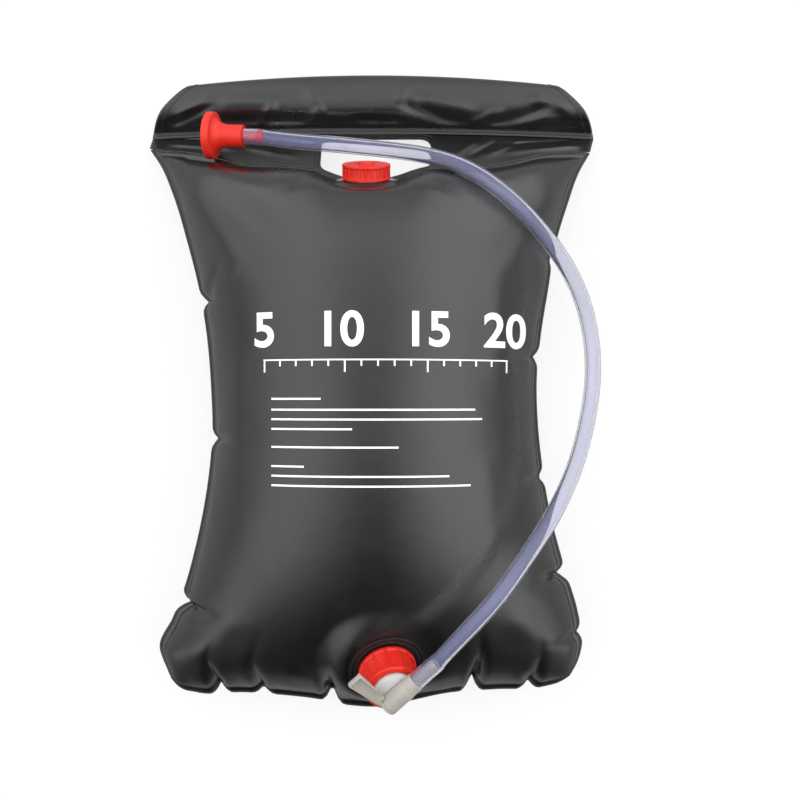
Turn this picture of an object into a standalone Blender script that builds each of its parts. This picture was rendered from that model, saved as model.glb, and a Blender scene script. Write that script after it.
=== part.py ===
"""Camp shower bag, blown full and lying on its back.

Metres, +Z up, +X to the right and +Y towards the carrying handle. The origin is the middle
of the flat patch of film that the bag rests on.
"""
import math

import bmesh
import bpy
import numpy as np
from mathutils import Matrix, Vector

for old in list(bpy.data.objects):
    bpy.data.objects.remove(old, do_unlink=True)

# Clearances and counts that all pieces share
GAP = 0.0003
OVERRUN = 0.002
MERGE_DISTANCE = 0.000001
SHARP_ANGLE = math.radians(35)
AROUND = 24

# Film bag
HALF_WIDTH = 0.198
HALF_LENGTH = 0.250
SEAM_HEIGHT = 0.060
CROWN_HEIGHT = 0.160
CORNER_DROP = 0.030
FILM = 0.0006
WELD_WIDTH = 0.005
PUCKER_DEPTH = 0.0175
PUCKER_HALF_WIDTH = 0.011
SEAT_BLEND = 0.026
COLUMNS = 24
ROWS = 24
END_STEP_SHARES = (0.010, 0.046)
PUCKER_FADE_SHARE = 0.30
END_FADE = 6
SIDE_FADE = 2
SWELL_MARGIN_SHARE = 0.000001

# Edges of the bag as (place, distance) shares of its half length and half width
LEFT_EDGE_SHARES = (
    (-0.896, -0.914), (-0.857, -0.936), (-0.778, -0.968), (-0.680, -0.909), (-0.569, -0.855),
    (-0.425, -0.805),
    (-0.270, -0.764), (-0.108, -0.736), (0.0, -0.727), (0.140, -0.732), (0.378, -0.759),
    (0.518, -0.791), (0.680, -0.845), (0.857, -0.918), (0.964, -0.980), (1.036, -1.040),
)
RIGHT_EDGE_SHARES = (
    (-0.886, 0.900), (-0.857, 0.923), (-0.781, 0.955), (-0.655, 0.936), (-0.522, 0.886),
    (-0.439, 0.855),
    (-0.295, 0.809), (-0.144, 0.777), (0.018, 0.755), (0.198, 0.750), (0.342, 0.768),
    (0.508, 0.802), (0.666, 0.836), (0.828, 0.900), (0.950, 0.960), (1.024, 1.015),
)
BOTTOM_EDGE_SHARES = (
    (-0.914, -0.896), (-0.882, -0.925), (-0.800, -0.947), (-0.582, -0.947), (-0.418, -0.956),
    (-0.259, -0.970), (-0.100, -0.994), (0.059, -0.997), (0.182, -0.976), (0.336, -0.950),
    (0.559, -0.936), (0.777, -0.927), (0.868, -0.904), (0.900, -0.886),
)
TOP_EDGE_SHARES = (
    (-1.040, 1.036), (-0.785, 1.003), (-0.600, 0.966), (-0.373, 0.947), (-0.234, 0.932),
    (-0.131, 0.900), (0.0, 0.886), (0.112, 0.905), (0.233, 0.938), (0.475, 0.945),
    (0.625, 0.967), (0.777, 1.003), (1.015, 1.024),
)
# Puckers in the side welds as shares: place along the edge, depth of the deepest pucker
LEFT_PUCKER_SHARES = ((-0.616, 0.67), (-0.032, 0.36), (0.464, 0.41))
RIGHT_PUCKER_SHARES = (
    (-0.727, 0.28), (-0.515, 0.57), (-0.169, 0.33), (0.263, 0.31), (0.616, 0.20),
)
BOTTOM_PUCKER_SHARES = (
    (-0.686, 0.67), (-0.493, 0.46), (-0.180, 1.0), (0.450, 1.0), (0.708, 0.57),
)

# Handle: tunnel of film round a stiff tube, joined to the bag by a web with a hand hole
TUBE_RADIUS = 0.0125
TUBE_WALL = 0.0025
TUBE_SETBACK = 0.028
TUBE_LENGTH = 2 * (HALF_WIDTH - TUBE_SETBACK)
TUBE_OFFSET = 0.058
TUBE_MIDDLE_Y = HALF_LENGTH + TUBE_OFFSET
SLEEVE_SEAM_OFFSET = 0.026
SLEEVE_SEAM_Y = HALF_LENGTH + SLEEVE_SEAM_OFFSET
SLEEVE_SEAM_HEIGHT = 0.020
SLEEVE_SEAM_SAG = 0.005
SLEEVE_OVERHANG = 0.0035
SLEEVE_HALF_LENGTH = HALF_WIDTH + SLEEVE_OVERHANG
SLEEVE_MOUTH_SETBACK = 0.035
SLEEVE_FULLNESS = 0.0095
SLEEVE_WELD_WIDTH = 0.005
SLEEVE_COLUMNS = 10
SLEEVE_ARC_STEPS = 9
WEB_THICKNESS = 0.0012
WEB_ROWS = 2
HAND_HOLE_LEFT = -0.047
HAND_HOLE_RIGHT = 0.054
HAND_HOLE_STRIP = 0.003
HAND_HOLE_OFFSET = 0.0195
HAND_HOLE_CORNER = 0.010
HAND_HOLE_STEPS = 6

# Filler at the top end: welded neck, gasket and screw cap
FILLER_X = -0.004
FILLER_INSET = 0.034
FILLER_HEIGHT = 0.098
FILLER_PLACE = Vector((FILLER_X, HALF_LENGTH - FILLER_INSET, FILLER_HEIGHT))
FILLER_TILT = math.radians(71)
FLANGE_THICKNESS = 0.003
FILLER_FLANGE_RADIUS = 0.027
FILLER_NECK_RADIUS = 0.0185
FILLER_BORE_RADIUS = 0.0155
CAP_RADIUS = 0.021
CAP_HEIGHT = 0.0127
CAP_BASE = 0.0032
CAP_TOP_WALL = 0.0023
CAP_RIM = 0.0019
CAP_GRIPS = 12
CAP_GRIP_DEPTH = 0.0012
CAP_BOSS_RADIUS = 0.007
CAP_BOSS_HEIGHT = 0.002
CAP_EDGE = 0.0007
FILLER_GASKET_THICKNESS = 0.0015
THREAD_CLEARANCE = 0.0004

# Outlet at the bottom end: welded neck, gasket, tap and ring nut
OUTLET_X = 0.0135
OUTLET_INSET = 0.049
OUTLET_HEIGHT = 0.116
OUTLET_PLACE = Vector((OUTLET_X, OUTLET_INSET - HALF_LENGTH, OUTLET_HEIGHT))
OUTLET_AXIS = Vector((0.230, -0.494, 0.839))
TAP_DIRECTION = Vector((0.708, 0.676, 0.204))
OUTLET_FLANGE_RADIUS = 0.033
OUTLET_RING_WIDTH = 0.0018
OUTLET_RING_RISE = 0.001
OUTLET_NECK_RADIUS = 0.020
OUTLET_BORE_RADIUS = 0.016
NUT_BASE = 0.0026
NUT_BASE_RADIUS = 0.02525
NUT_TOP_RADIUS = 0.0230
NUT_HEIGHT = 0.0245
NUT_TOP_WALL = 0.0043
NUT_HOLE_RADIUS = 0.0173
NUT_RIM = 0.0024
NUT_RIBS = 14
NUT_RIB_DEPTH = 0.0009
OUTLET_GASKET_THICKNESS = 0.002
ADAPTER_FLANGE_THICKNESS = 0.0028
DOME_RISE = 0.0060
DOME_STEPS = 5
STUB_RADIUS = 0.006
STUB_BORE_RADIUS = 0.0038
TAP_AXIS_HEIGHT = 0.0385
BARREL_RADIUS = 0.0085
BARREL_BACK = 0.009
BARREL_FRONT = 0.023
BARREL_TAPER = 0.0025
PLUG_SEAT_RADIUS = 0.006
PLUG_SEAT_END = 0.0095
SPIGOT_RADIUS = 0.0056
SPIGOT_BORE_RADIUS = 0.0036
SPIGOT_LENGTH = 0.023
SPIGOT_CHAMFER = 0.0008
PLUG_BORE_RADIUS = 0.0034
PLUG_FLOOR = 0.0015
PLUG_PORT_RADIUS = 0.003
KEY_HEAD_LENGTH = 0.0042
KEY_HEAD_ROUND = 0.0022
LEVER_LENGTH = 0.045
LEVER_WIDTH = 0.0140
LEVER_THICKNESS = 0.005
LEVER_RIM = 0.0012
LEVER_RECESS = 0.003
LEVER_CORNER = 0.0016
O_RING_WIRE_RADIUS = 0.0005
O_RING_ROOM = 0.00015
O_RING_SIDES = 5
O_RING_STEPS = 20
PLUG_GROOVE_PLACE = 0.0042

# Hose and shower head
HOSE_RADIUS = 0.00675
HOSE_BORE_RADIUS = 0.005
TAP_CUFF_RADIUS = 0.0076
HEAD_CUFF_RADIUS = 0.0071
HOSE_SIDES = 10
HOSE_POINT_SPACING = 0.027
HOSE_END_SPACING = 0.004
HEAD_INSET = 0.0846
HEAD_X = HEAD_INSET - HALF_WIDTH
HEAD_OFFSET = 0.0128
HEAD_HEIGHT = 0.0673
HEAD_PLACE = Vector((HEAD_X, HALF_LENGTH + HEAD_OFFSET, HEAD_HEIGHT))
HEAD_DIRECTION = Vector((-0.979, 0.066, -0.191))
BARB_LENGTH = 0.017
BARB_RADIUS = 0.0052
STEM_BORE_RADIUS = 0.0035
STEM_RADIUS = 0.0073
STEM_LENGTH = 0.0185
STEM_END_WALL = 0.0016
STEM_TIP_RADIUS = 0.0040
STEM_TIP_LENGTH = 0.0050
STEM_PORT_RADIUS = 0.0016
STEM_GROOVE_PLACE = 0.0100
TRUMPET_COLLAR_RADIUS = 0.0100
TRUMPET_COLLAR_LENGTH = 0.0150
TRUMPET_BORE_RADIUS = 0.0078
TRUMPET_LENGTH = 0.0345
TRUMPET_RADIUS = 0.0210
TRUMPET_RIM = 0.0065
TRUMPET_ORIFICE_RADIUS = 0.0044
TRUMPET_ORIFICE_WALL = 0.0022
TRUMPET_LIP = 0.0018
TRUMPET_FLARE_STEPS = 5
ROSE_THICKNESS = 0.0022
ROSE_INSET = 0.0006
ROSE_HOLE_RADIUS = 0.0008
ROSE_RINGS = ((6, 0.0062), (12, 0.0125))
ROSE_HOLE_SIDES = 6

# Colour and roughness of each finish
BLACK_FILM = ((0.018, 0.018, 0.019), 0.38, 0.0)
BLACK_PLASTIC = ((0.012, 0.012, 0.013), 0.30, 0.0)
GREY_PLASTIC = ((0.20, 0.20, 0.20), 0.45, 0.0)
RED_PLASTIC = ((0.80, 0.035, 0.02), 0.28, 0.0)
CREAM_PLASTIC = ((0.76, 0.74, 0.66), 0.35, 0.0)
MILKY_PLASTIC = ((0.80, 0.80, 0.78), 0.30, 0.4)
SOFT_RUBBER = ((0.03, 0.03, 0.03), 0.70, 0.0)
CLEAR_HOSE = ((0.80, 0.82, 0.90), 0.12, 0.8)


def finish(name, colour, roughness, clear):
    """A plain plastic finish."""
    material = bpy.data.materials.new(name)
    material.use_nodes = True
    shader = material.node_tree.nodes["Principled BSDF"]
    shader.inputs["Base Color"].default_value = (*colour, 1.0)
    shader.inputs["Roughness"].default_value = roughness
    shader.inputs["Metallic"].default_value = 0.0
    shader.inputs["Transmission Weight"].default_value = clear
    material.diffuse_color = (*colour, 1.0)
    return material


def add_piece(name, bm, look, placement=None, skin=False):
    """Turn a shape into a named object with its own material. A skin already faces outwards."""
    if not skin:
        bmesh.ops.recalc_face_normals(bm, faces=bm.faces)
    mesh = bpy.data.meshes.new(name)
    bm.to_mesh(mesh)
    bm.free()
    mesh.shade_smooth()
    mesh.set_sharp_from_angle(angle=SHARP_ANGLE)
    mesh.materials.append(finish(name, *look))
    piece = bpy.data.objects.new(name, mesh)
    if placement is not None:
        piece.matrix_world = placement
    bpy.context.scene.collection.objects.link(piece)
    return piece


def combine(piece, name, bm, operation, placement=None):
    """Cut a guide shape out of a piece, or fuse it on."""
    bmesh.ops.recalc_face_normals(bm, faces=bm.faces)
    mesh = bpy.data.meshes.new(name)
    bm.to_mesh(mesh)
    bm.free()
    guide = bpy.data.objects.new(name, mesh)
    if placement is not None:
        guide.matrix_world = placement
    bpy.context.scene.collection.objects.link(guide)
    guide.hide_render = True
    guide.display_type = "WIRE"
    change = piece.modifiers.new(name, "BOOLEAN")
    change.operation = operation
    change.solver = "EXACT"
    change.object = guide
    return guide


def turned(profile, steps=AROUND, ring=False):
    """Spin a profile of (radius, height) points about Z. A ring's profile closes on itself."""
    bm = bmesh.new()
    points = [bm.verts.new((radius, 0, height)) for radius, height in profile]
    ends = points[1:] + points[:1] if ring else points[1:]
    edges = [bm.edges.new(pair) for pair in zip(points, ends)]
    bmesh.ops.spin(
        bm, geom=points + edges, cent=(0, 0, 0), axis=(0, 0, 1), angle=math.tau, steps=steps,
        use_merge=True,
    )
    bmesh.ops.remove_doubles(bm, verts=bm.verts, dist=MERGE_DISTANCE)
    return bm


def grip(bm, count, steps, depth, low, high, outside):
    """Press panels into the outside of a turned shape, leaving upright ribs between them."""
    for vert in bm.verts:
        radius = vert.co.xy.length
        if radius < outside or not low < vert.co.z < high:
            continue
        place = round(math.atan2(vert.co.y, vert.co.x) * steps / math.tau)
        if place % (steps // count):
            vert.co.xy *= (radius - depth) / radius


def rod(radius, low, high, steps=AROUND):
    """A solid cylinder along Z."""
    return turned(((0, low), (radius, low), (radius, high), (0, high)), steps)


def block(low, high):
    """A box between two corners."""
    bm = bmesh.new()
    bmesh.ops.create_cube(bm, size=1.0)
    middle = (Vector(low) + Vector(high)) / 2
    size = Vector(high) - Vector(low)
    bmesh.ops.transform(
        bm, matrix=Matrix.Translation(middle) @ Matrix.Diagonal((*size, 1.0)), verts=bm.verts
    )
    return bm


def frame_at(place, axis, side):
    """Placement whose Z runs along the axis and whose X is the side made square to it."""
    z = axis.normalized()
    x = (side - z * side.dot(z)).normalized()
    return Matrix.Translation(place) @ Matrix((x, z.cross(x), z)).transposed().to_4x4()


FILLER_AXIS = Vector((0, math.sin(FILLER_TILT), math.cos(FILLER_TILT)))
FILLER_FRAME = frame_at(FILLER_PLACE, FILLER_AXIS, Vector((1, 0, 0)))
OUTLET_FRAME = frame_at(OUTLET_PLACE, OUTLET_AXIS, TAP_DIRECTION)
TAP_FRAME = (
    OUTLET_FRAME
    @ Matrix.Translation((0, 0, TAP_AXIS_HEIGHT))
    @ Matrix.Rotation(math.radians(90), 4, "Y")
)
HEAD_FRAME = frame_at(HEAD_PLACE, HEAD_DIRECTION, Vector((0, 0, 1)))


# Plan of the bag

def height_on(curve, place):
    """Distance that a smooth curve through (place, distance) points has at one place."""
    places, distances = np.array(curve).T
    slopes = np.gradient(distances, places)
    first = int(np.clip(np.searchsorted(places, place) - 1, 0, len(places) - 2))
    span = places[first + 1] - places[first]
    t = (place - places[first]) / span
    return (
        (2 * t**3 - 3 * t**2 + 1) * distances[first]
        + (t**3 - 2 * t**2 + t) * span * slopes[first]
        + (3 * t**2 - 2 * t**3) * distances[first + 1]
        + (t**3 - t**2) * span * slopes[first + 1]
    )


def edge_at(curve, share):
    """(place, distance) shares of an edge at a share of its own run."""
    place = curve[0][0] + (curve[-1][0] - curve[0][0]) * share
    return place, height_on(curve, place)


def edge_run(curve, length):
    """Length of an edge in metres, measured along the side it follows."""
    return (curve[-1][0] - curve[0][0]) * length


def pucker_places(curve, puckers):
    """Puckers of an edge as shares of its own run, with their depths in metres."""
    run = curve[-1][0] - curve[0][0]
    return [((place - curve[0][0]) / run, PUCKER_DEPTH * depth) for place, depth in puckers]


def pinch(curve, puckers, length, share, inward_share):
    """How far the puckers of one edge draw the film in at a share along it."""
    run = edge_run(curve, length)
    depth = 0.0
    for place, deepest in pucker_places(curve, puckers):
        nearness = max(0.0, 1 - abs(share - place) * run / PUCKER_HALF_WIDTH)
        depth += deepest * nearness**2
    return depth * max(0.0, 1 - inward_share / PUCKER_FADE_SHARE) ** 2


def plan(s, t):
    """Place in plan of a point of the film, from shares across and along the bag."""
    edges = (
        (BOTTOM_EDGE_SHARES, s, t, END_FADE, False), (TOP_EDGE_SHARES, s, 1 - t, END_FADE, False),
        (LEFT_EDGE_SHARES, t, s, SIDE_FADE, True), (RIGHT_EDGE_SHARES, t, 1 - s, SIDE_FADE, True),
    )
    low = Vector(BOTTOM_EDGE_SHARES[0]).lerp(Vector(BOTTOM_EDGE_SHARES[-1]), s)
    high = Vector(TOP_EDGE_SHARES[0]).lerp(Vector(TOP_EDGE_SHARES[-1]), s)
    spot = low.lerp(high, t)
    for curve, share, inward, fade, upright in edges:
        bow = Vector(edge_at(curve, share)) - Vector(curve[0]).lerp(Vector(curve[-1]), share)
        spot += (bow.yx if upright else bow) * (1 - inward) ** fade
    x, y = spot * Vector((HALF_WIDTH, HALF_LENGTH))
    x += pinch(LEFT_EDGE_SHARES, LEFT_PUCKER_SHARES, HALF_LENGTH, t, s)
    x -= pinch(RIGHT_EDGE_SHARES, RIGHT_PUCKER_SHARES, HALF_LENGTH, t, 1 - s)
    y += pinch(BOTTOM_EDGE_SHARES, BOTTOM_PUCKER_SHARES, HALF_WIDTH, s, t)
    return x, y


def stations(curve, puckers, length, count):
    """Shares along an edge: welds, close steps at both ends and three places on each pucker."""
    run = edge_run(curve, length)
    weld, half = WELD_WIDTH / run, PUCKER_HALF_WIDTH / run
    centres = [place for place, _ in pucker_places(curve, puckers)]
    places = {0.0, weld, 1 - weld, 1.0}
    for step in END_STEP_SHARES:
        for place in (weld + step, 1 - weld - step):
            if all(abs(place - centre) > 1.5 * half for centre in centres):
                places.add(place)
    for centre in centres:
        places |= {centre - half, centre, centre + half}
    places = sorted(places)
    while len(places) <= count:
        widest = int(np.argmax(np.diff(places)))
        places.insert(widest + 1, (places[widest] + places[widest + 1]) / 2)
    return places


def seam_height(x, y):
    """Height of the middle of the weld, which hangs lower at the top corners."""
    drop = min(1, (x / HALF_WIDTH) ** 2 * max(y / HALF_LENGTH, 0) ** 4)
    return SEAM_HEIGHT - CORNER_DROP * drop


def swell(s, t):
    """How full the bag is at a place: 0 on the welds, 1 in the middle."""
    u = (2 * s - 1) / (1 - 2 * WELD_WIDTH / edge_run(BOTTOM_EDGE_SHARES, HALF_WIDTH))
    v = (2 * t - 1) / (1 - 2 * WELD_WIDTH / edge_run(LEFT_EDGE_SHARES, HALF_LENGTH))
    if max(abs(u), abs(v)) > 1 - SWELL_MARGIN_SHARE:
        return 0.0
    across = (1 - abs(u) ** 2.2) ** 0.6
    end = (1 - v**6) ** 0.5 if v > 0 else (1 - abs(v) ** 3) ** 0.62
    return across * end


def seated(point):
    """A point of the film, drawn onto the plane of a fitting that is welded in near it."""
    for place, axis, radius in (
        (FILLER_PLACE, FILLER_AXIS, FILLER_FLANGE_RADIUS),
        (OUTLET_PLACE, OUTLET_AXIS.normalized(), OUTLET_FLANGE_RADIUS),
    ):
        offset = point - place
        rise = offset.dot(axis)
        away = ((offset - axis * rise).length - radius) / SEAT_BLEND
        away = min(max(away, 0.0), 1.0)
        point = point - axis * rise * (1 - away * away * (3 - 2 * away))
    return point


def film_grid(raise_point):
    """Skin of one half of the bag, stretched between its four edges, with the weld all round."""
    left = stations(LEFT_EDGE_SHARES, LEFT_PUCKER_SHARES, HALF_LENGTH, ROWS)
    right = stations(RIGHT_EDGE_SHARES, RIGHT_PUCKER_SHARES, HALF_LENGTH, ROWS)
    bottom = stations(BOTTOM_EDGE_SHARES, BOTTOM_PUCKER_SHARES, HALF_WIDTH, COLUMNS)
    bm = bmesh.new()
    grid = []
    for low, high in zip(left, right):
        row = []
        for s in bottom:
            t = (1 - s) * low + s * high
            row.append(bm.verts.new(raise_point(*plan(s, t), swell(s, t))))
        grid.append(row)
    for row, following in zip(grid, grid[1:]):
        for i in range(COLUMNS):
            bm.faces.new((row[i], row[i + 1], following[i + 1], following[i]))
    return bm


def thicken(piece, thickness, offset):
    """Give an open skin its wall."""
    wall = piece.modifiers.new("wall", "SOLIDIFY")
    wall.thickness = thickness
    wall.offset = offset


def front_panel():
    def raise_point(x, y, fullness):
        low = seam_height(x, y) + GAP / 2 + FILM
        rise = CROWN_HEIGHT - SEAM_HEIGHT - GAP / 2 - FILM
        point = Vector((x, y, low + rise * fullness))
        return seated(point) if fullness > 0 else point

    piece = add_piece("front_panel", film_grid(raise_point), BLACK_FILM, skin=True)
    thicken(piece, FILM, -1)
    for name, frame, radius in (
        ("filler_hole", FILLER_FRAME, FILLER_FLANGE_RADIUS),
        ("outlet_hole", OUTLET_FRAME, OUTLET_FLANGE_RADIUS),
    ):
        depth = SEAT_BLEND / 2
        combine(piece, name, rod(radius + GAP, -depth, depth), "DIFFERENCE", frame)


def back_panel():
    def raise_point(x, y, fullness):
        high = seam_height(x, y) - GAP / 2 - FILM
        flatness = min(1.5 * fullness, 1.0)
        return Vector((x, y, high * (1 - flatness * (2 - flatness))))

    # The skin of the back faces down, so its wall grows up into the bag
    bm = film_grid(raise_point)
    bmesh.ops.reverse_faces(bm, faces=bm.faces)
    piece = add_piece("back_panel", bm, BLACK_FILM, skin=True)
    thicken(piece, FILM, -1)


# Handle

def sleeve_seam_y(x):
    """The sleeve's lower weld bows away from the bag in the middle."""
    return SLEEVE_SEAM_Y - SLEEVE_SEAM_SAG * (x / SLEEVE_HALF_LENGTH) ** 2


def hand_hole(top):
    """Cutter for the hand hole, whose near side follows the top weld of the bag."""
    far = HALF_LENGTH + HAND_HOLE_OFFSET
    outline = [(HAND_HOLE_RIGHT, far), (HAND_HOLE_LEFT, far)]
    for x in np.linspace(HAND_HOLE_LEFT, HAND_HOLE_RIGHT, HAND_HOLE_STEPS + 1):
        outline.append((x, np.interp(x, *zip(*top)) + HAND_HOLE_STRIP))
    bm = bmesh.new()
    low = [bm.verts.new((x, y, 0)) for x, y in outline]
    high = [bm.verts.new((x, y, CROWN_HEIGHT)) for x, y in outline]
    bm.faces.new(reversed(low))
    bm.faces.new(high)
    for k in range(len(outline)):
        after = (k + 1) % len(outline)
        bm.faces.new((low[k], low[after], high[after], high[k]))
    near_sides = set(low[3:-1])
    corners = [
        e for e in bm.edges
        if abs(e.verts[0].co.z - e.verts[1].co.z) > HAND_HOLE_CORNER
        and not near_sides.intersection(e.verts)
    ]
    bmesh.ops.bevel(
        bm, geom=corners, offset=HAND_HOLE_CORNER, segments=4, profile=0.5, affect="EDGES"
    )
    return bm


def handle_web():
    across = stations(BOTTOM_EDGE_SHARES, BOTTOM_PUCKER_SHARES, HALF_WIDTH, COLUMNS)
    top = [plan(s, 1.0) for s in across]
    left, right = top[0][0], top[-1][0]
    room = GAP + WEB_THICKNESS / 3
    bm = bmesh.new()
    grid = []
    for j in range(WEB_ROWS + 1):
        t = j / WEB_ROWS
        row = []
        for x, y in top:
            near = Vector((x, y + room, seam_height(x, y)))
            x = SLEEVE_HALF_LENGTH * (2 * (x - left) / (right - left) - 1)
            far = Vector((x, sleeve_seam_y(x) - room, SLEEVE_SEAM_HEIGHT))
            row.append(bm.verts.new(near.lerp(far, t)))
        grid.append(row)
    for j in range(WEB_ROWS):
        for i in range(COLUMNS):
            bm.faces.new((grid[j][i], grid[j][i + 1], grid[j + 1][i + 1], grid[j + 1][i]))
    piece = add_piece("handle_web", bm, BLACK_FILM, skin=True)
    thicken(piece, WEB_THICKNESS, 0)
    combine(piece, "hand_hole", hand_hole(top), "DIFFERENCE")


def sleeve_section():
    """Outline of the sleeve as (reach from its weld, height), round the tube and back."""
    radius = TUBE_RADIUS + 2 * GAP + FILM
    reach = TUBE_MIDDLE_Y - SLEEVE_SEAM_Y
    weld = 3 * FILM / 2
    upper = [
        (0, SLEEVE_SEAM_HEIGHT + weld),
        (SLEEVE_WELD_WIDTH, SLEEVE_SEAM_HEIGHT + weld),
        (0.35 * reach, SLEEVE_SEAM_HEIGHT + 2 * weld),
        (0.60 * reach, 2 * radius - 3 * weld),
        (0.82 * reach, 2 * radius),
    ]
    lower = [
        (0.80 * reach, 0),
        (0.55 * reach, 0.12 * radius + weld),
        (0.32 * reach, 0.60 * SLEEVE_SEAM_HEIGHT),
        (SLEEVE_WELD_WIDTH, SLEEVE_SEAM_HEIGHT - weld),
        (0, SLEEVE_SEAM_HEIGHT - weld),
    ]
    arc = []
    for k in range(SLEEVE_ARC_STEPS + 1):
        angle = math.radians(90) - math.pi * k / SLEEVE_ARC_STEPS
        arc.append((reach + radius * math.cos(angle), radius + radius * math.sin(angle)))
    return upper + arc + lower


def handle_sleeve():
    section = sleeve_section()
    bm = bmesh.new()
    rings = []
    for share in np.linspace(-1, 1, SLEEVE_COLUMNS + 1):
        ring = []
        for reach, height in section:
            length = SLEEVE_HALF_LENGTH - SLEEVE_MOUTH_SETBACK * (reach / section[8][0]) ** 2
            x = share * length
            slack = (SLEEVE_SEAM_Y - sleeve_seam_y(x)) * max(0, 1 - reach / section[3][0])
            full = SLEEVE_FULLNESS * (1 - share**2) * reach / section[8][0]
            ring.append(bm.verts.new((x, SLEEVE_SEAM_Y + reach + full - slack, height)))
        rings.append(ring)
    for ring, following in zip(rings, rings[1:]):
        for k in range(len(section)):
            after = (k + 1) % len(section)
            bm.faces.new((ring[k], following[k], following[after], ring[after]))
    piece = add_piece("handle_sleeve", bm, BLACK_FILM, skin=True)
    thicken(piece, FILM, -1)


def handle_tube():
    half = TUBE_LENGTH / 2
    bore = TUBE_RADIUS - TUBE_WALL
    profile = ((bore, half), (TUBE_RADIUS, half), (TUBE_RADIUS, -half), (bore, -half))
    place = Vector((0, TUBE_MIDDLE_Y, FILM + 2 * GAP + TUBE_RADIUS))
    frame = frame_at(place, Vector((1, 0, 0)), Vector((0, 1, 0)))
    add_piece("handle_tube", turned(profile, ring=True), GREY_PLASTIC, frame)


# Filler

def filler():
    half = FLANGE_THICKNESS / 2
    top = CAP_BASE + CAP_HEIGHT
    underside = top - CAP_TOP_WALL
    gasket_top = underside - GAP
    gasket_low = gasket_top - FILLER_GASKET_THICKNESS
    neck_top = gasket_low - GAP
    edge = CAP_EDGE
    neck = (
        (FILLER_BORE_RADIUS, -half), (FILLER_FLANGE_RADIUS - edge, -half),
        (FILLER_FLANGE_RADIUS, edge - half), (FILLER_FLANGE_RADIUS, half - edge),
        (FILLER_FLANGE_RADIUS - edge, half), (FILLER_NECK_RADIUS + edge, half),
        (FILLER_NECK_RADIUS, half + edge), (FILLER_NECK_RADIUS, neck_top - edge),
        (FILLER_NECK_RADIUS - edge, neck_top), (FILLER_BORE_RADIUS, neck_top),
    )
    add_piece("filler_neck", turned(neck, ring=True), MILKY_PLASTIC, FILLER_FRAME)
    gasket = (
        (FILLER_BORE_RADIUS, gasket_low), (FILLER_NECK_RADIUS, gasket_low),
        (FILLER_NECK_RADIUS, gasket_top), (FILLER_BORE_RADIUS, gasket_top),
    )
    add_piece("filler_gasket", turned(gasket, ring=True), SOFT_RUBBER, FILLER_FRAME)
    waist = CAP_RADIUS - CAP_GRIP_DEPTH / 2
    inside = FILLER_NECK_RADIUS + THREAD_CLEARANCE
    cap = (
        (0, top + CAP_BOSS_HEIGHT), (CAP_BOSS_RADIUS - edge, top + CAP_BOSS_HEIGHT),
        (CAP_BOSS_RADIUS, top + CAP_BOSS_HEIGHT - edge), (CAP_BOSS_RADIUS, top),
        (CAP_RADIUS - edge, top), (CAP_RADIUS, top - edge), (CAP_RADIUS, top - CAP_RIM),
        (waist, top - CAP_RIM - edge), (waist, CAP_BASE + CAP_RIM + edge),
        (CAP_RADIUS, CAP_BASE + CAP_RIM), (CAP_RADIUS, CAP_BASE), (inside, CAP_BASE),
        (inside, underside), (0, underside),
    )
    steps = 3 * CAP_GRIPS
    bm = turned(cap, steps)
    low, high = CAP_BASE + CAP_RIM + edge / 2, top - CAP_RIM - edge / 2
    grip(bm, CAP_GRIPS, steps, CAP_GRIP_DEPTH, low, high, inside + edge)
    add_piece("filler_cap", bm, RED_PLASTIC, FILLER_FRAME)


# Outlet and tap

NUT_TOP = NUT_BASE + NUT_HEIGHT
ADAPTER_TOP = NUT_TOP - NUT_TOP_WALL - GAP
ADAPTER_LOW = ADAPTER_TOP - ADAPTER_FLANGE_THICKNESS
OUTLET_GASKET_LOW = ADAPTER_LOW - GAP - OUTLET_GASKET_THICKNESS
OUTLET_NECK_TOP = OUTLET_GASKET_LOW - GAP


def outlet_neck():
    half = FLANGE_THICKNESS / 2
    edge = CAP_EDGE
    crest = half + OUTLET_RING_RISE
    width = OUTLET_RING_WIDTH
    rim = OUTLET_FLANGE_RADIUS
    profile = (
        (OUTLET_BORE_RADIUS, -half), (rim - edge, -half), (rim, edge - half), (rim, crest - edge),
        (rim - edge, crest), (rim - width, crest), (rim - width, half),
        (rim - 2 * width, half), (rim - 2 * width, crest), (rim - 3 * width, crest),
        (rim - 3 * width, half), (OUTLET_NECK_RADIUS + edge, half),
        (OUTLET_NECK_RADIUS, half + edge), (OUTLET_NECK_RADIUS, OUTLET_NECK_TOP - edge),
        (OUTLET_NECK_RADIUS - edge, OUTLET_NECK_TOP), (OUTLET_BORE_RADIUS, OUTLET_NECK_TOP),
    )
    add_piece("outlet_neck", turned(profile, ring=True), BLACK_PLASTIC, OUTLET_FRAME)


def outlet_gasket():
    low, high = OUTLET_GASKET_LOW, OUTLET_GASKET_LOW + OUTLET_GASKET_THICKNESS
    profile = (
        (OUTLET_BORE_RADIUS, low), (OUTLET_NECK_RADIUS, low),
        (OUTLET_NECK_RADIUS, high), (OUTLET_BORE_RADIUS, high),
    )
    add_piece("outlet_gasket", turned(profile, ring=True), SOFT_RUBBER, OUTLET_FRAME)


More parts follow.
